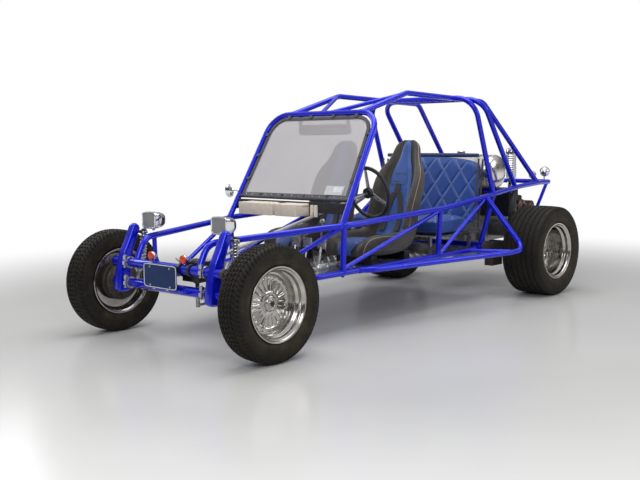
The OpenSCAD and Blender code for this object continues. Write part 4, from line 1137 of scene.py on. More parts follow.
@dataclass
class Bench:
    """The rear bench: a deep cushion and a tall back quilted in diamonds."""

    x: float = -990.0
    floor: float = 497.6
    w: float = 900.0
    lean: float = 7.0
    diamond: tuple[float, float] = (150.0, 205.0)
    seam_depth: float = 0.007
    seam_width: float = 9.0
    stitch_width: float = 3.2

    def slab(self, low: Array, high: Array) -> Array:
        """A pillow-edged block between two corners: a superellipse in x and z carried along y."""
        a = np.sin(np.linspace(0.05, math.pi - 0.05, 60)) ** 0.09
        oval = ring(1.0, 96, 6.0)
        middle, half = (low + high) / 2, (high - low) / 2
        y = np.linspace(-1, 1, 60) * half[1]
        p = np.empty((60, 96, 3))
        p[..., 0] = oval[:, 0] * (half[0] * a)[:, None]
        p[..., 1] = y[:, None]
        p[..., 2] = oval[:, 1] * (half[2] * a)[:, None]
        return p + middle

    def leaned(self, p: Array) -> Array:
        """Points turned back about the foot of the bench's back."""
        a = math.radians(self.lean)
        foot = np.array([self.x + 25, 0, self.floor + 30])
        q = p - foot
        return foot + np.stack([q[..., 0] * math.cos(a) - q[..., 2] * math.sin(a), q[..., 1],
                                q[..., 0] * math.sin(a) + q[..., 2] * math.cos(a)], -1)

    def quilt(self, piece: bpy.types.Object, up: Array, face: Array) -> None:
        """Sews diamonds into a face: depth = 7 exp(-(d / 9 mm)^2) with d from the nearest seam."""
        mesh = piece.data
        co = coordinates(mesh)
        normals = np.empty(len(co) * 3)
        mesh.vertices.foreach_get("normal", normals)
        normals = normals.reshape(-1, 3)
        facing = smooth((normals @ face - 0.35) / 0.4)
        y, s = co[:, 1] * 1000, (co @ up) * 1000
        a, b = self.diamond
        off = np.min([abs(k - np.round(k)) for k in (y / a + s / b, y / a - s / b)], 0)
        off = off / math.hypot(1 / a, 1 / b)
        co -= normals * (self.seam_depth * np.exp(-((off / self.seam_width) ** 2)) * facing)[:, None]
        mesh.vertices.foreach_set("co", co.ravel())
        seam = mesh.attributes.new("seam", "FLOAT", "POINT")
        seam.data.foreach_set("value", np.exp(-((off / self.stitch_width) ** 2)) * facing)
        mesh.update()

    def build(self) -> None:
        """Makes the cushion, the back, their piping and the navy top roll."""
        f, half = self.floor, self.w / 2
        seat_box = self.slab(np.array([self.x + 98, -half + 8, f + 6]),
                             np.array([self.x + 522, half - 8, f + 117]))
        back_box = self.slab(np.array([self.x + 6, -half + 8, f + 6]),
                             np.array([self.x + 78, half - 8, f + 548]))
        cushion = loose(Shape().grid(seat_box), "bench_cushion")
        back = loose(Shape().grid(self.leaned(back_box)), "bench_back")
        a = math.radians(self.lean)
        up, out = np.array([-math.sin(a), 0, math.cos(a)]), np.array([math.cos(a), 0, math.sin(a)])
        flat = (cushion, np.array([1.0, 0, 0]), np.array([0, 0, 1.0]))
        for piece, along_face, face in (flat, (back, up, out)):
            puff(piece, 8, 9)
            subdivide(piece)
            self.quilt(piece, along_face, face)
            finish_piece(piece, "chassis", (QUILT_VINYL,),
                         ("rear_bench",) if piece is back else (), 180)
        trim = Shape()
        across = np.linspace(-half + 30, half - 30, 30)
        top = self.leaned(np.stack([np.full(30, self.x + 42.0), across, np.full(30, f + 552.0)], 1))
        trim.tube(top, np.sin(np.linspace(0.2, math.pi - 0.2, 30)) ** 0.12 * 16, 16)
        for s in (-1, 1):
            for x in (self.x + 14, self.x + 70):
                rise = np.linspace(f + 25, f + 525, 24)
                side = self.leaned(np.stack([np.full(24, x), np.full(24, s * (half - 6)), rise], 1))
                trim.tube(side, 7, 10, 1)
        trim.build("bench_edges", "chassis", "bench_vinyl", (NAVY_VINYL, GREY_VINYL), (), 60)


# ---- Front axle ----


@dataclass
class FrontAxle:
    """What sits on the axle beam: coil-overs, clamps, caps, steering box fittings and boots."""

    beam_x: float = 1560.0
    beams: tuple[float, float] = (355.0, 475.0)
    head: tuple[float, float, float] = (1398, 415, 645)
    mid: tuple[float, float, float] = (1414, 422, 460)
    foot: tuple[float, float, float] = (1453.2, 461, 302.7)
    turns: float = 9.5
    wire: float = 4.2
    coil: float = 20.6

    def springs(self) -> None:
        """Coil-overs: the coil is p(t) = a + t (b - a) + R (cos 2 pi n t, sin 2 pi n t) across it."""
        for side, word in SIDES:
            turn = np.array([1.0, side, 1.0])
            head, mid, foot = (np.array(p) * turn for p in (self.head, self.mid, self.foot))
            t = np.linspace(0, 1, int(self.turns * 22))
            u = unit(mid - head)
            first = helper(u)
            second = np.cross(u, first)
            a = TAU * self.turns * t
            start, end = mix(head, mid, 0.06), mix(head, mid, 0.94)
            coil = mix(start, end, t) + self.coil * (np.cos(a)[:, None] * first + np.sin(a)[:, None] * second)
            shape = Shape()
            shape.tube(coil, self.wire, 8, 0)
            shape.pin(head, mix(head, mid, 0.06), 25, 28, 1, 2)
            shape.pin(mix(head, mid, 0.95), mid, 25, 28, 1, 2)
            shape.pin(head, mid, 13.5, 24, 1)
            shape.pin(mid, foot, 9.6, 24, 0)
            shape.pin(mix(mid, foot, 0.1), mix(mid, foot, 0.36), 16, 24, 1, 2)
            shape.pin(foot - (0, 14, 0), foot + np.array([0, 14, 0]), 15, 24, 2, 2)
            shape.pin(head, head + np.array([60, 0, 0]), 9, 18, 2)
            shape.pin(head - (12, 0, 0), head + np.array([10, 0, 0]), 17, 24, 2, 2)
            shape.build(f"coil_over_{word}", "chassis", "zinc_steel", (ZINC, CHROME, BLACK),
                        ("front_shocks",) if side > 0 else (), 40)

    def towers(self) -> None:
        """Pressed towers: a rounded section carried from the beams back and up to a round top.

        point(i, j) = line(i) + (a(i) s1(j), b(i) s2(j)) across it, a and b shrinking to the top.
        """
        shape = Shape()
        line = rounded([(1574, 0, 294), (1562, 0, 420), (1540, 0, 520), (1457, 0, 698)], 120)
        line = dense(line, 7)
        t = np.concatenate([[0], np.cumsum(np.linalg.norm(np.diff(line, axis=0), axis=1))])
        share, left = t / t[-1], t[-1] - t
        wide = 46 - 17 * smooth((share - 0.1) / 0.75)
        deep = 35 - 8 * share
        end = np.sqrt(np.clip(1 - (1 - np.clip(left / 28, 0, 1)) ** 2, 0.02, 1))
        foot = np.sqrt(np.clip(1 - (1 - np.clip(t / 16, 0, 1)) ** 2, 0.25, 1))
        oval = ring(1.0, 44, 3.6)
        step = unit(np.gradient(line, axis=0))
        across = np.stack([-step[:, 2], np.zeros(len(line)), step[:, 0]], 1)
        p = line[:, None] + (wide * end * foot)[:, None, None] * oval[:, 0, None] * across[:, None]
        p[..., 1] += 415 + (deep * end * foot)[:, None] * oval[:, 1]
        shape.grid(p, caps=True)
        shape.mirrored()
        shape.build("pressed_towers", "chassis", "frame_paint", (PAINT,), ("shock_towers",), 34)

    def clamps(self) -> None:
        """Split clamps with their bolts inboard of the towers, and the primed caps of the bosses."""
        shape = Shape()
        for z in self.beams:
            ring_profile = dense([(27.4, -13), (34, -13), (35.5, -10), (35.5, 10), (34, 13), (27.4, 13)], 4)
            shape.turned(ring_profile, (self.beam_x, 346, z), count=48, loop=True)
            shape.box((self.beam_x + 24, 335, z - 11), (self.beam_x + 46, 357, z + 11))
            shape.box((self.beam_x + 24, 335, z + 22), (self.beam_x + 40, 357, z + 44))
            shape.pin((self.beam_x + 38, 346, z - 24), (self.beam_x + 38, 346, z + 26), 4.5, 12)
            shape.bolt((self.beam_x + 38, 346, z - 20), (0, 0, -1), 7)
            shape.bolt((self.beam_x + 32, 346, z + 42), (0, 0, 1), 7)
            shape.pin((self.beam_x, 519, z), (self.beam_x, 526, z), 24, 32, 1, 3)
            shape.bolt((self.beam_x, 526, z), (0, 1, 0), 8, 1)
        shape.mirrored()
        shape.build("beam_clamps", "chassis", "zinc_steel", (ZINC, CAP_RED), (), 38)

    def gear(self) -> None:
        """The steering box's cover, bolts, pot joint and silver levers."""
        shape = Shape()
        low, high = np.array([1438.0, 110, 403]), np.array([1532.7, 255, 515])
        middle = (low + high) / 2
        cover = [(1, 12), (30, 12), (38, 8), (42, 0), (42, -2), (1, -2)]
        shape.turned(cover, (middle[0], middle[1], high[2]), "z", 40)
        for k in range(6):
            a = TAU * k / 6
            at = (middle[0] + 34 * math.cos(a), middle[1] + 34 * math.sin(a), high[2] + 8)
            shape.bolt(at, (0, 0, 1), 4.5, 1)
        shape.pin((middle[0], middle[1], 403), (middle[0], middle[1], 392), 22, 28, 0, 2)
        shape.pin((1420, 192, 505), (1445, 190, 496), 18, 28, 2, 2)
        shape.pin((middle[0], 108, 470), (middle[0], 96, 470), 26, 30, 1, 3)
        shape.tube(rounded([(middle[0], 98, 470), (1505, 60, 505), (1500, 20, 520)], 30), 6, 12, 1)
        shape.build("steering_gear_fittings", "chassis", "black_paint", (BLACK, ZINC, CAST), (), 38)

    def build(self) -> None:
        """Makes every group of the axle."""
        self.springs()
        self.towers()
        self.clamps()
        self.gear()
        boots = Shape()
        for s in (1, -1):
            folds = [(13 + (3 if k % 2 else 0), 560 - 5 * k) for k in range(9)]
            boots.turned([(9, 562)] + folds + [(9, 516)], (1300, 0, 264.4), side=s, count=28)
        boots.build("tie_rod_boots", "tie_rods", "black_paint", (MOULDED,), (), 60)


# ---- Lamps, plate and mirrors ----


@dataclass
class Lamps:
    """Headlamps with their lenses, signals, tail lamps, the blank plate and the mirrors."""

    lamp: tuple[float, float, float] = (1430, 318, 718)

    def headlamps(self) -> None:
        """Rectangular lamps: a rounded chrome bucket, a reflector and a flat lens.

        The bucket's rings go from a squarish oval at the front to a round one at the back.
        """
        x, y, z = self.lamp
        steps = np.linspace(0, 1, 18)
        size = np.sqrt(np.clip(1 - steps ** 2.6, 0, 1))
        p = np.empty((18, 64, 3))
        for n, (t, k) in enumerate(zip(steps, size)):
            oval = ring(1.0, 64, 7.0 - 4.6 * t)
            p[n] = np.stack([np.full(64, x - 112 * t), y + 65 * k * oval[:, 0], z + 50 * k * oval[:, 1]], 1)
        shape = Shape().grid(p, slot=0)
        oval = ring(1.0, 64, 7.0)
        rim = np.stack([np.full(64, x + 1), y + 61 * oval[:, 0], z + 46 * oval[:, 1]], 1)
        shape.tube(rim, 5, 10, 0, closed=True)
        steps = np.linspace(0, 1, 12)
        bowl = [np.stack([np.full(64, x - 46 * t ** 0.6), y + 57 * (1 - t) * o[:, 0],
                          z + 42 * (1 - t) * o[:, 1]], 1)
                for t, o in ((t, ring(1.0, 64, 7.0 - 4.8 * t)) for t in steps * 0.96)]
        shape.grid(np.stack(bowl), slot=1, caps=True)
        shape.pin((x - 40, y, z), (x - 14, y, z), 9, 20, 0, 3)
        front = np.stack([np.full(64, x - 1), y + 58 * oval[:, 0], z + 43 * oval[:, 1]], 1)
        shape.prism(front, (2.5, 0, 0), 2)
        shape.pin((x - 30, y, z - 46), (x - 34, y, z - 62), 9, 20, 3)
        shape.mirrored()
        shape.build("headlamp_lenses", "chassis", "chrome",
                    (CHROME, REFLECTOR, CLEAR_LENS, ZINC), ("headlamps",), 40)

    def signals(self) -> None:
        """Orange round lenses in chrome bodies on the beam, and ringed tail lamps."""
        shape = Shape()
        for y in (-120, 170):
            at = (1572, y, 532)
            shape.turned([(1, 14), (18, 12), (24, 8), (25, 3), (25, 0), (1, 0)], at, "x", 36, slot=0)
            shape.turned([(25.5, 1), (27, -4), (22, -20), (10, -32), (1, -34)], at, "x", 36, slot=1)
            shape.pin((1560, y, 502), (1560, y, 516), 8, 18, 1)
        shape.build("turn_signal_lamps", "chassis", "orange_lens", (ORANGE, CHROME), ("turn_signals",), 38)
        tail = Shape()
        for y, z, r in ((305, 882, 42), (190, 853, 32)):
            tail.turned([(1, 34), (r - 8, 32), (r - 3, 26), (r - 2, 18), (1, 16)],
                        (-2192, y, z), "x", 44, -1, 1)
            tail.turned([(r - 3, 27), (r, 24), (r, 14), (r - 3, 0), (r * 0.6, -16), (1, -24)],
                        (-2172, y, z), "x", 44, -1, 0)
            tail.pin((-2182, y, 820), (-2182, y, z - 0.6 * r), 7, 16, 0)
        tail.points = [np.column_stack([np.clip(p[:, 0], -2200, None), p[:, 1:]]) for p in tail.points]
        tail.mirrored()
        tail.build("tail_lamp_bodies", "chassis", "chrome", (CHROME, RED_LENS), ("tail_lamps",), 38)

    def plate(self) -> None:
        """The blank blue plate with its white border, four bolts and brackets."""
        shape = Shape()
        shape.box((1605, -151, 354), (1607.6, 151, 498))
        edge = ring(1.0, 72, 12.0) * (145, 66)
        shape.tube(np.stack([np.full(72, 1607.8), edge[:, 0], 426 + edge[:, 1]], 1), 2.6, 8, 1, closed=True)
        for y in (-89, 89):
            for z in (371, 477):
                shape.bolt((1607.6, y, z), (1, 0, 0), 4.5, 2)
        for s in (-1, 1):
            shape.box((1587.5, s * 60 - 12, 348), (1606, s * 60 + 12, 363), 2)
        shape.build("blank_plate", "chassis", "plate_enamel", (PLATE_BLUE, PLATE_WHITE, ZINC),
                    ("number_plate",), bevel=0.8)

    def mirrors(self) -> None:
        """The wide beige mirror on its brackets and the small round one on the far pillar."""
        shape = Shape()
        oval = ring(1.0, 72, 7.0) * (233, 36)
        for x0, x1, k, slot in ((183, 193, 1.0, 0), (181.8, 183, 0.95, 1)):
            face = np.stack([np.full(72, x0), -10 + k * oval[:, 0], 1247 + k * oval[:, 1]], 1)
            shape.prism(face, (x1 - x0, 0, 0), slot)
        for s in (-1, 1):
            shape.box((185, -10 + s * 214 - 9, 1262), (200, -10 + s * 214 + 9, 1340), 2)
        at = (556, -564, 842)
        shape.turned([(1, -16), (18, -15), (34, -11), (43, -4), (45, 0), (42, 3), (1, 1)], at, "x", 44, -1, 3)
        shape.turned([(1, 1.4), (41, 1.4), (41, 0.4), (1, 0.4)], at, "x", 40, -1, 1)
        shape.tube(rounded([(566, -562, 842), (566, -540, 856), (515, -500, 840)], 18), 5.5, 14, 3)
        shape.build("mirror_set", "chassis", "mirror_back", (BEIGE, MIRROR, BLACK, CHROME), ("mirrors",), 38)

    def build(self) -> None:
        """Makes every lamp, the plate and the mirrors."""
        self.headlamps()
        self.signals()
        self.plate()
        self.mirrors()


# ---- Engine and tank ----


@dataclass
class Engine:
    """The air-cooled flat engine: case, finned banks, pulleys, stack, and the fuel tank."""

    x: float = -1560.0
    stack: tuple[float, float] = (-1880.0, 170.0)
    tank: tuple[float, float, float] = (-1410.0, 0.0, 910.0)

    def block(self) -> None:
        """The split crankcase, four finned barrels with rocker covers, and two pulleys on a belt."""
        shape, fins = Shape(), Shape()
        shape.box((self.x - 398, -128, 347), (self.x - 2, 128, 543))
        shape.box((self.x - 404, -6, 350), (self.x, 6, 540))
        for k in range(7):
            for s in (-1, 1):
                shape.bolt((self.x - 30 - 56 * k, s * 60, 543), (0, 0, 1), 5, 1)
        shape.turned([(1, 0), (60, 0), (84, 3), (85, 8), (74, 12), (84, 17), (84, 23), (40, 24.5), (1, 24.5)],
                     (self.x - 400, 0, 450), "x", 64, -1, 1)
        shape.build("crankcase", "chassis", "cast_aluminium", (CAST, ZINC), ("engine_case",), bevel=5)
        plate = ring(1.0, 40, 7.0)
        for s in (-1, 1):
            for x in (self.x - 115, self.x - 285):
                for k in range(17):
                    y = s * (138 + 11.5 * k)
                    half = 80 if k < 11 else 76
                    face = np.stack([x + half * plate[:, 0], np.full(40, y), 445 + 58 * plate[:, 1]], 1)
                    fins.prism(face, (0, s * 4.2, 0))
                fins.pin((x, s * 132, 445), (x, s * 330, 445), 46, 28)
            fins.box((self.x - 366, min(s * 336, s * 371), 392), (self.x - 34, max(s * 336, s * 371), 498), 1)
        fins.build("finned_barrels", "chassis", "cast_aluminium", (CAST, SPUN), (), 30)

    def top(self) -> None:
        """The oil filler, the carburettor, its ribbed stack and the lid."""
        x, y = self.stack
        shape = Shape()
        ribs = [(38 if k % 2 else 44, 842 + 9 * k) for k in range(23)]
        profile = [(1, 700.5), (30, 700.5), (30, 836)] + ribs
        profile += [(44, 1054), (43.5, 1060), (38, 1076), (22, 1086), (1, 1088)]
        shape.turned(profile, (x, y, 0), "z", 56)
        shape.build("ribbed_stack", "chassis", "chrome", (CHROME,), ("air_cleaner",), 30)
        trim = Shape()
        trim.turned([(1, 772), (150, 772), (152, 768), (1, 760)], (self.x - 125, 0, 0), "z", 56, slot=0)
        trim.pin((self.x - 196, 0, 655), (self.x - 250, 0, 655), 70, 44, 1, 4)
        trim.pin((self.x - 250, 0, 655), (self.x - 300, 0, 655), 58, 44, 1, 3)
        line = []
        for z, r in ((655.0, 62.0), (450.0, 80.0)):
            a = np.linspace(0, math.pi, 14) if z > 500 else np.linspace(math.pi, TAU, 14)
            line.append(np.stack([np.full(14, self.x - 412), r * np.cos(a), z + r * np.sin(a)], 1))
        belt = np.concatenate(line)
        trim.grid(sweep(belt, ring(1.0, 8, 4.0) * (5, 6), closed=True), wrap_u=True, slot=2)
        trim.pin((self.x - 403, 0, 655), (self.x - 420, 0, 655), 56, 44, 1, 2)
        trim.pin((self.x - 300, 0, 655), (self.x - 404, 0, 655), 12, 20, 1)
        trim.tube(rounded([(self.x - 320, 120, 660), (self.x - 330, 20, 700), (self.x - 250, -120, 690),
                           (self.x - 230, -250, 560)], 40), 12, 16, 3)
        for s in (-1, 1):
            for k, lead in enumerate((0, 60)):
                plug = self.x - 110 - 170 * k
                trim.tube(rounded([(self.x - 330, -60, 640), (self.x - 300 + lead, s * 150, 625 - 12 * k),
                                   (plug, s * 300, 560), (plug, s * 330, 500)], 35), 4, 10, 2)
        trim.build("engine_top_gear", "chassis", "black_paint", (BLACK, ZINC, MOULDED, SPUN), (), 38)

    def cell(self) -> None:
        """The spun tank: domed ends, weld rings, two straps and a vented cap."""
        x, _, z = self.tank
        ends = [(131.5 * math.sin(a), 360 - 46.5 * (1 - math.cos(a))) for a in np.linspace(0.02, 1.2, 14)]
        half = ends + [(131.9, 309), (131.9, 302), (130.2, 298), (130.2, 30)]
        profile = half + [(r, -y) for r, y in half[::-1]]
        shape = Shape()
        shape.turned(dense(profile, 14), (x, 0, z), count=96)
        for y in (-190, 190):
            shape.turned([(132, -15), (133.6, -14), (133.6, 14), (132, 15), (129, 0)], (x, y, z),
                         count=80, slot=1, loop=True)
        shape.turned([(1, 160), (26, 160), (30, 156), (30, 142), (26, 140), (26, 126), (1, 126)],
                     (x, 0, z), "z", 40, slot=2)
        for k in range(12):
            a = TAU * k / 12
            grip = np.array([x + 30 * math.cos(a), 30 * math.sin(a), z])
            shape.pin(grip + (0, 0, 143), grip + (0, 0, 155), 2, 6, 2)
        shape.build("spun_tank", "chassis", "polished_aluminium", (SPUN, ZINC, CHROME), ("fuel_tank",), 38)

    def build(self) -> None:
        """Makes the engine and the tank."""
        self.block()
        self.top()
        self.cell()


# ---- Cabin ----


@dataclass
class Cabin:
    """Steering wheel, dash gauges, boxes' strap and lids, windshield clips, label, and floor bars."""

    hub: tuple[float, float, float] = (30.0, 240.0, 825.0)
    foot: tuple[float, float, float] = (1429.6, 192.0, 503.0)
    wheel_r: float = 170.0

    def wheel(self) -> None:
        """The grip ring, three spokes and the hub pod, turned about the steering shaft."""
        hub, foot = np.array(self.hub), np.array(self.foot)
        axis = unit(hub - foot)
        right = unit(np.cross((0, 0, 1.0), axis))
        up = np.cross(axis, right)
        shape = Shape()
        a = np.linspace(0, TAU, 120, endpoint=False)
        grip = hub + self.wheel_r * (np.cos(a)[:, None] * right + np.sin(a)[:, None] * up)
        shape.grid(sweep(grip, ring(12.8, 18), 1 + 0.03 * np.cos(36 * a), True, side=axis), wrap_u=True)
        for k in (math.pi / 2, math.pi / 2 + TAU / 3, math.pi / 2 - TAU / 3):
            way = math.cos(k) * right + math.sin(k) * up
            line = hub + dense([(20.0, 0.0), (162.0, 0.0)], 10)[:, :1] * way
            width = np.linspace(17, 11, len(line))
            oval = ring(1.0, 14, 4.0) * (1.0, 0.18)
            shape.grid(sweep(line, oval, width, side=np.cross(axis, way)), slot=1)
        for low, high, r, slot in ((-24, 6, 36, 0), (6, 15, 30, 1), (15, 18, 17, 2)):
            shape.pin(hub + low * axis, hub + high * axis, r, 40, slot, 3)
        shape.grid(sweep(dense([hub - 20 * axis, foot], 60), ring(1.0, 24),
                         np.linspace(9.4, 12.5, len(dense([hub - 20 * axis, foot], 60)))), slot=3, caps=True)
        shape.pin(hub - 130 * axis, hub - 30 * axis, 9.5, 24, 0)
        shape.build("grip_and_shaft", "steering_wheel", "grip_vinyl",
                    (MOULDED, ZINC, BLUE_ANODISED, SHAFT_GREY), ("steering_wheel",), 38)

    def dash(self) -> None:
        """Five gauges with bezels and domed glasses, and three switches."""
        shape = Shape()
        for n, y in enumerate((120, 190, 262, 330, 385)):
            r = 27 if n in (1, 2) else 21
            at = (477, y, 757)
            bezel = [(r, 0), (r + 3, -1), (r + 3, -4), (r, -6), (r - 2, -4)]
            shape.turned(bezel, at, "x", 36, slot=0, loop=True)
            shape.turned([(1, -2.5), (r - 2, -2)], at, "x", 36, slot=1)
            shape.pin((473.5, y, 757), (473.5, y + r * 0.5, 757 + r * 0.4), 1.0, 6, 2)
        for y in (-40, 0, 40):
            shape.pin((478, y, 757), (462, y, 760), 4, 12, 0)
        shape.build("dash_gauges", "chassis", "chrome", (CHROME, GAUGE_FACE, PLATE_WHITE), (), 38)

    def cowl(self) -> None:
        """Lid seams, the strap between the boxes and the reservoirs."""
        shape = Shape()
        shape.box((500, -29, 700), (622, -11, 786), 0)
        for low, high in ((-345, -30), (-10, 186)):
            shape.box((544, low - 1.5, 765), (621.5, high + 1.5, 770), 1)
        for y in (212, 244):
            shape.turned([(1, 0), (13, 0), (13, 62), (11, 66), (11, 74), (1, 75)],
                         (560, y, 700), "z", 28, slot=2)
        shape.build("cowl_trim", "chassis", "cream_plastic", (BLACK, BEIGE, CREAM), (), bevel=1.5)

    def screen(self) -> None:
        """Clips on the windshield hoop and the blank label panel at its lower corner."""
        lean = math.radians(30.759)
        along_up = np.array([-math.sin(lean), 0, math.cos(lean)])
        out = np.array([math.cos(lean), 0, math.sin(lean)])
        base = np.array([523.4, 0, 810.6])
        shape = Shape()
        matrix = np.stack([out, (0, 1, 0), along_up], 1)

        def block(y: float, h: float, size: tuple[float, float, float], lift: float, slot: int) -> None:
            """A block lying on the panel at a place y across and h up it."""
            at, half = base + np.array([0, y, 0]) + h * along_up + lift * out, np.array(size) / 2
            shape.box(at - half, at + half, slot, matrix)

        for y in (-300, -100, 100, 300):
            block(y, 604, (20, 24, 26), 4, 0)
            block(y, 8, (22, 26, 30), 4, 0)
        for s in (-1, 1):
            for h in (130, 310, 470):
                block(s * (472 - 28 * h / 605), h, (20, 26, 22), 4, 0)
        block(345, 62, (2, 150, 64), 5, 1)
        block(372, 66, (2, 66, 36), 6.4, 2)
        for y in np.linspace(-430, 430, 15):
            block(y, 14, (3, 7, 7), 8.5, 3)
        shape.build("windshield_clips", "chassis", "window_rubber",
                    (EDGE_RUBBER, LABEL, PLATE_WHITE, ZINC), (), bevel=0.8)

    def bars(self) -> None:
        """Raised lozenges of the tread plate, in rows that lean by turns left and right."""
        x, y = np.meshgrid(np.arange(-800, 1040, 34.0), np.arange(-440, 441, 34.0), indexing="ij")
        flip = (np.add.outer(np.arange(x.shape[0]), np.arange(x.shape[1])) % 2).ravel()
        x, y = x.ravel(), y.ravel()
        limit = np.where(x < 780, 462, 462 - (x - 780) * 0.4)
        keep = abs(y) < limit - 30
        x, y, flip = x[keep], y[keep], flip[keep]
        a = np.where(flip > 0, 0.9, -0.9)
        oval = ring(1.0, 8) * (11, 3)
        low = np.stack([oval[:, 0] * np.cos(a)[:, None] - oval[:, 1] * np.sin(a)[:, None],
                        oval[:, 0] * np.sin(a)[:, None] + oval[:, 1] * np.cos(a)[:, None]], -1)
        p = np.zeros((len(x), 2, 8, 3))
        p[:, 0, :, :2], p[:, 1, :, :2] = low, low * 0.6
        p[..., 0] += x[:, None, None]
        p[..., 1] += y[:, None, None]
        p[:, 0, :, 2], p[:, 1, :, 2] = 377.2, 378.8
        index = np.arange(16).reshape(2, 8)
        ring_now = np.concatenate([index, index[:, :1]], 1)
        side = np.stack([ring_now[0, :-1], ring_now[0, 1:], ring_now[1, 1:], ring_now[1, :-1]], -1)
        offset = (np.arange(len(x)) * 16)[:, None, None]
        shape = Shape()
        ribs = np.arange(548, 756, 13.0)
        shape.box((540, 438, 379), (764, 442, 436))
        for k in ribs:
            shape.pin((k, 442.6, 386), (k + 5, 442.6, 430), 1.6, 6)
        shape._add(p.reshape(-1, 3), [(side + offset).reshape(-1, 4), (index[1] + offset[:, 0])], 0)
        shape.build("tread_bars", "chassis", "tread_plate", (TREAD,), (), 180)

    def build(self) -> None:
        """Makes the cabin's fittings."""
        self.wheel()
        self.dash()
        self.cowl()
        self.screen()
        self.bars()


# ---- Camera and studio ----


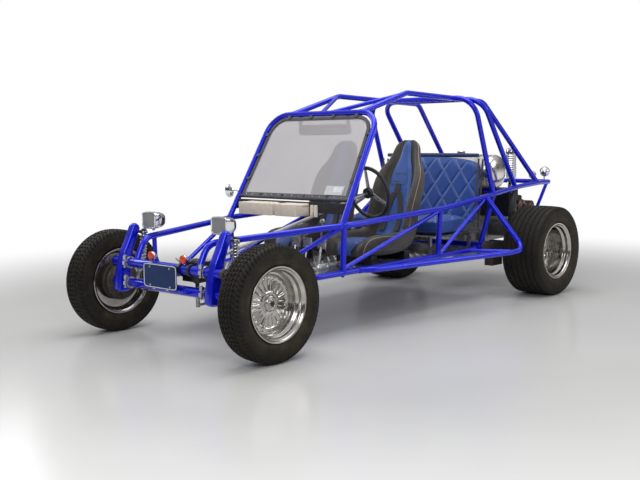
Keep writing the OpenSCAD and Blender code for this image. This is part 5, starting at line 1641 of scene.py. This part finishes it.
@dataclass
class Studio:
    """A pale glossy floor that fades to a white room, soft lamps and the camera.

    The camera's place is in metres and its angles in degrees; yaw and pitch give where it looks.
    """

    place: tuple[float, float, float] = (5.1254, 4.2817, 1.2099)
    yaw: float = 222.729
    pitch: float = 6.315
    roll: float = -0.868
    lens: float = 53.14

    def camera(self) -> None:
        """The camera: right, up and back are the columns of its turn."""
        y, p, r = (math.radians(a) for a in (self.yaw, self.pitch, self.roll))
        ahead = np.array([math.cos(y) * math.cos(p), math.sin(y) * math.cos(p), -math.sin(p)])
        right = np.array([math.sin(y), -math.cos(y), 0.0])
        up = np.cross(right, ahead)
        columns = (math.cos(r) * right + math.sin(r) * up, -math.sin(r) * right + math.cos(r) * up, -ahead)
        data = bpy.data.cameras.new("studio_camera")
        data.lens, data.sensor_width, data.clip_end = self.lens, 36, 200
        camera = bpy.data.objects.new("studio_camera", data)
        matrix = np.eye(4)
        matrix[:3, :3], matrix[:3, 3] = np.stack(columns, 1), self.place
        camera.matrix_world = Matrix(matrix.tolist())
        bpy.context.scene.collection.objects.link(camera)
        bpy.context.scene.camera = camera

    def lamp(self, name: str, at: Sequence[float], aim: Sequence[float], size: tuple[float, float],
             power: float) -> None:
        """A soft rectangular lamp that looks at a point."""
        data = bpy.data.lights.new(name, "AREA")
        data.shape, data.size, data.size_y, data.energy = "RECTANGLE", *size, power
        lamp = bpy.data.objects.new(name, data)
        back = unit(np.subtract(at, aim))
        right = unit(np.cross((0, 1, 0) if abs(back[2]) > 0.99 else (0, 0, 1), back))
        matrix = np.eye(4)
        matrix[:3, :3], matrix[:3, 3] = np.stack((right, np.cross(back, right), back), 1), at
        lamp.matrix_world = Matrix(matrix.tolist())
        bpy.context.scene.collection.objects.link(lamp)

    def world(self) -> None:
        """White to the eye and in glass; a grey room with a bright ceiling in reflections."""
        world = bpy.data.worlds.new("white_room")
        bpy.context.scene.world = world
        world.use_nodes = True
        tree = world.node_tree
        tree.nodes.clear()
        way = add(tree, "TexCoord").outputs["Generated"]
        split = add(tree, "SeparateXYZ", {"Vector": way})
        ramp = add(tree, "ValToRGB", {"Fac": split.outputs["Z"]})
        stops = ((0.0, "#6e6e70"), (0.05, "#4c4c4e"), (0.28, "#8a8a8c"), (0.7, "#e6e6e8"))
        for n, (where, shade) in enumerate(stops):
            stop = ramp.color_ramp.elements[n] if n < 2 else ramp.color_ramp.elements.new(where)
            stop.position, stop.color = where, linear(shade)
        room = add(tree, "Background", {"Color": ramp.outputs["Color"], "Strength": 1.0})
        soft = add(tree, "Background", {"Color": linear("#ffffff"), "Strength": 0.42})
        white = add(tree, "Background", {"Color": linear("#ffffff"), "Strength": 1.0})
        path = add(tree, "LightPath")
        glossy = add(tree, "MixShader", {
            "Fac": path.outputs["Is Glossy Ray"], 1: soft.outputs[0], 2: room.outputs[0]})
        seen = add(tree, "Math", {0: path.outputs["Is Camera Ray"], 1: path.outputs["Is Transmission Ray"]},
                   operation="MAXIMUM")
        both = add(tree, "MixShader", {"Fac": seen.outputs[0], 1: glossy.outputs[0], 2: white.outputs[0]})
        out = add(tree, "OutputWorld")
        tree.links.new(both.outputs[0], out.inputs["Surface"])

    def floor(self) -> None:
        """A wide polished floor, grey under the car and white further off."""
        r, a = np.concatenate([[0.0, 2.0], np.linspace(4, 40, 10)]), np.linspace(0, TAU, 64, endpoint=False)
        p = np.stack([r[:, None] * np.cos(a), r[:, None] * np.sin(a), np.zeros((len(r), 64))], -1)
        mesh = bpy.data.meshes.new("studio_floor")
        index = np.arange(len(r) * 64).reshape(len(r), 64)
        index = np.concatenate([index, index[:, :1]], 1)
        quads = np.stack([index[:-1, :-1], index[1:, :-1], index[1:, 1:], index[:-1, 1:]], -1).reshape(-1, 4)
        mesh.from_pydata(p.reshape(-1, 3).tolist(), [], quads[64:].tolist() + [list(range(64, 128))])
        floor = bpy.data.objects.new("studio_floor", mesh)
        bpy.context.scene.collection.objects.link(floor)
        material = bpy.data.materials.new("polished_pale_floor")
        material.use_nodes = True
        tree = material.node_tree
        tree.nodes.clear()
        where = add(tree, "TexCoord").outputs["Object"]
        far = add(tree, "VectorMath", {0: where}, operation="LENGTH")
        fade = add(tree, "MapRange", {"Value": far.outputs["Value"], "From Min": 2.2, "From Max": 5.2},
                   interpolation_type="SMOOTHSTEP")
        tint = add(tree, "TexNoise", {"Vector": where, "Scale": 0.7, "Detail": 2.0})
        ramp = add(tree, "ValToRGB", {"Fac": tint.outputs["Fac"]})
        for stop, shade in zip(ramp.color_ramp.elements, ("#cdcdcb", "#e0e0df")):
            stop.color = linear(shade)
        shader = add(tree, "BsdfPrincipled", {
            "Base Color": ramp.outputs["Color"], "Roughness": 0.2, "Specular IOR Level": 0.6})
        white = add(tree, "Emission", {"Color": linear("#ffffff"), "Strength": 1.0})
        path = add(tree, "LightPath")
        seen = add(tree, "Math", {0: path.outputs["Is Camera Ray"], 1: path.outputs["Is Glossy Ray"]},
                   operation="MAXIMUM")
        seen = add(tree, "Math", {0: seen.outputs[0], 1: path.outputs["Is Transmission Ray"]},
                   operation="MAXIMUM")
        share = add(tree, "Math", {0: fade.outputs["Result"], 1: seen.outputs[0]}, operation="MULTIPLY")
        both = add(tree, "MixShader", {"Fac": share.outputs[0], 1: shader.outputs[0], 2: white.outputs[0]})
        out = add(tree, "OutputMaterial")
        tree.links.new(both.outputs[0], out.inputs["Surface"])
        mesh.materials.append(material)

    def build(self) -> None:
        """Sets the view, the camera, the floor, the room and the lamps."""
        bpy.context.scene.view_settings.view_transform = "Standard"
        self.camera()
        self.world()
        self.floor()
        self.lamp("ceiling_bank", (0.2, 0.2, 4.6), (0, 0, 0.5), (5.0, 3.4), 150)
        self.lamp("key_bank", (4.6, 3.4, 3.2), (0.2, 0.2, 0.6), (2.6, 1.8), 75)
        self.lamp("side_bank", (-2.6, 4.8, 2.6), (-0.6, 0, 0.6), (3.0, 1.4), 55)
        self.lamp("far_bank", (1.2, -4.8, 2.8), (0, 0, 0.6), (3.4, 1.4), 60)


# ---- The car ----

# CAD shapes that are right as they are: node, name, slot, finish and edge width
KEPT = (
    ("floor_pan", "floor_plate", "tread_plate", TREAD, 0.6),
    ("front_beam", "beam_tubes", "frame_paint", PAINT, 1.5),
    ("front_arms", "trailing_arms", "cast_iron", IRON, 1.2),
    ("steering_box", "steering_gear", "black_paint", BLACK, 7),
    ("windshield_frame", "window_edge", "window_rubber", EDGE_RUBBER, 3),
    ("windshield_pane", "window_sheet", "clear_sheet", SHEET, 0),
    ("dash_panel", "dash", "black_paint", MOULDED, 5),
    ("cowl_boxes", "cowl_boxes_cream", "cream_plastic", CREAM, 9),
    ("cabin_controls", "controls", "zinc_steel", ZINC, 2),
    ("fan_shroud", "shroud", "black_paint", BLACK, 16),
    ("exhaust", "pipes", "header_coating", HEADER, 0),
    ("transaxle", "gearbox", "cast_aluminium", CAST, 5),
    ("rear_arms", "spring_plates", "cast_iron", IRON, 2),
    ("rear_shocks", "rear_dampers", "black_paint", BLACK, 0),
    ("tie_rods", "tie_rod_bar", "zinc_steel", ZINC, 0),
    ("knuckle_left", "knuckle_left_casting", "cast_iron", IRON, 0),
    ("knuckle_right", "knuckle_right_casting", "cast_iron", IRON, 0),
)


def main() -> None:
    """Builds the car round its frame, piece by piece."""
    logging.basicConfig(level=logging.INFO, format="%(message)s")
    Studio().build()
    Cage().build()
    make_wheels()
    Seat().build()
    Bench().build()
    FrontAxle().build()
    Lamps().build()
    Engine().build()
    Cabin().build()
    for node, name, slot, finish, bevel in KEPT:
        smooth_copy(node, name, finish, bevel)


if __name__ == "__main__":
    main()
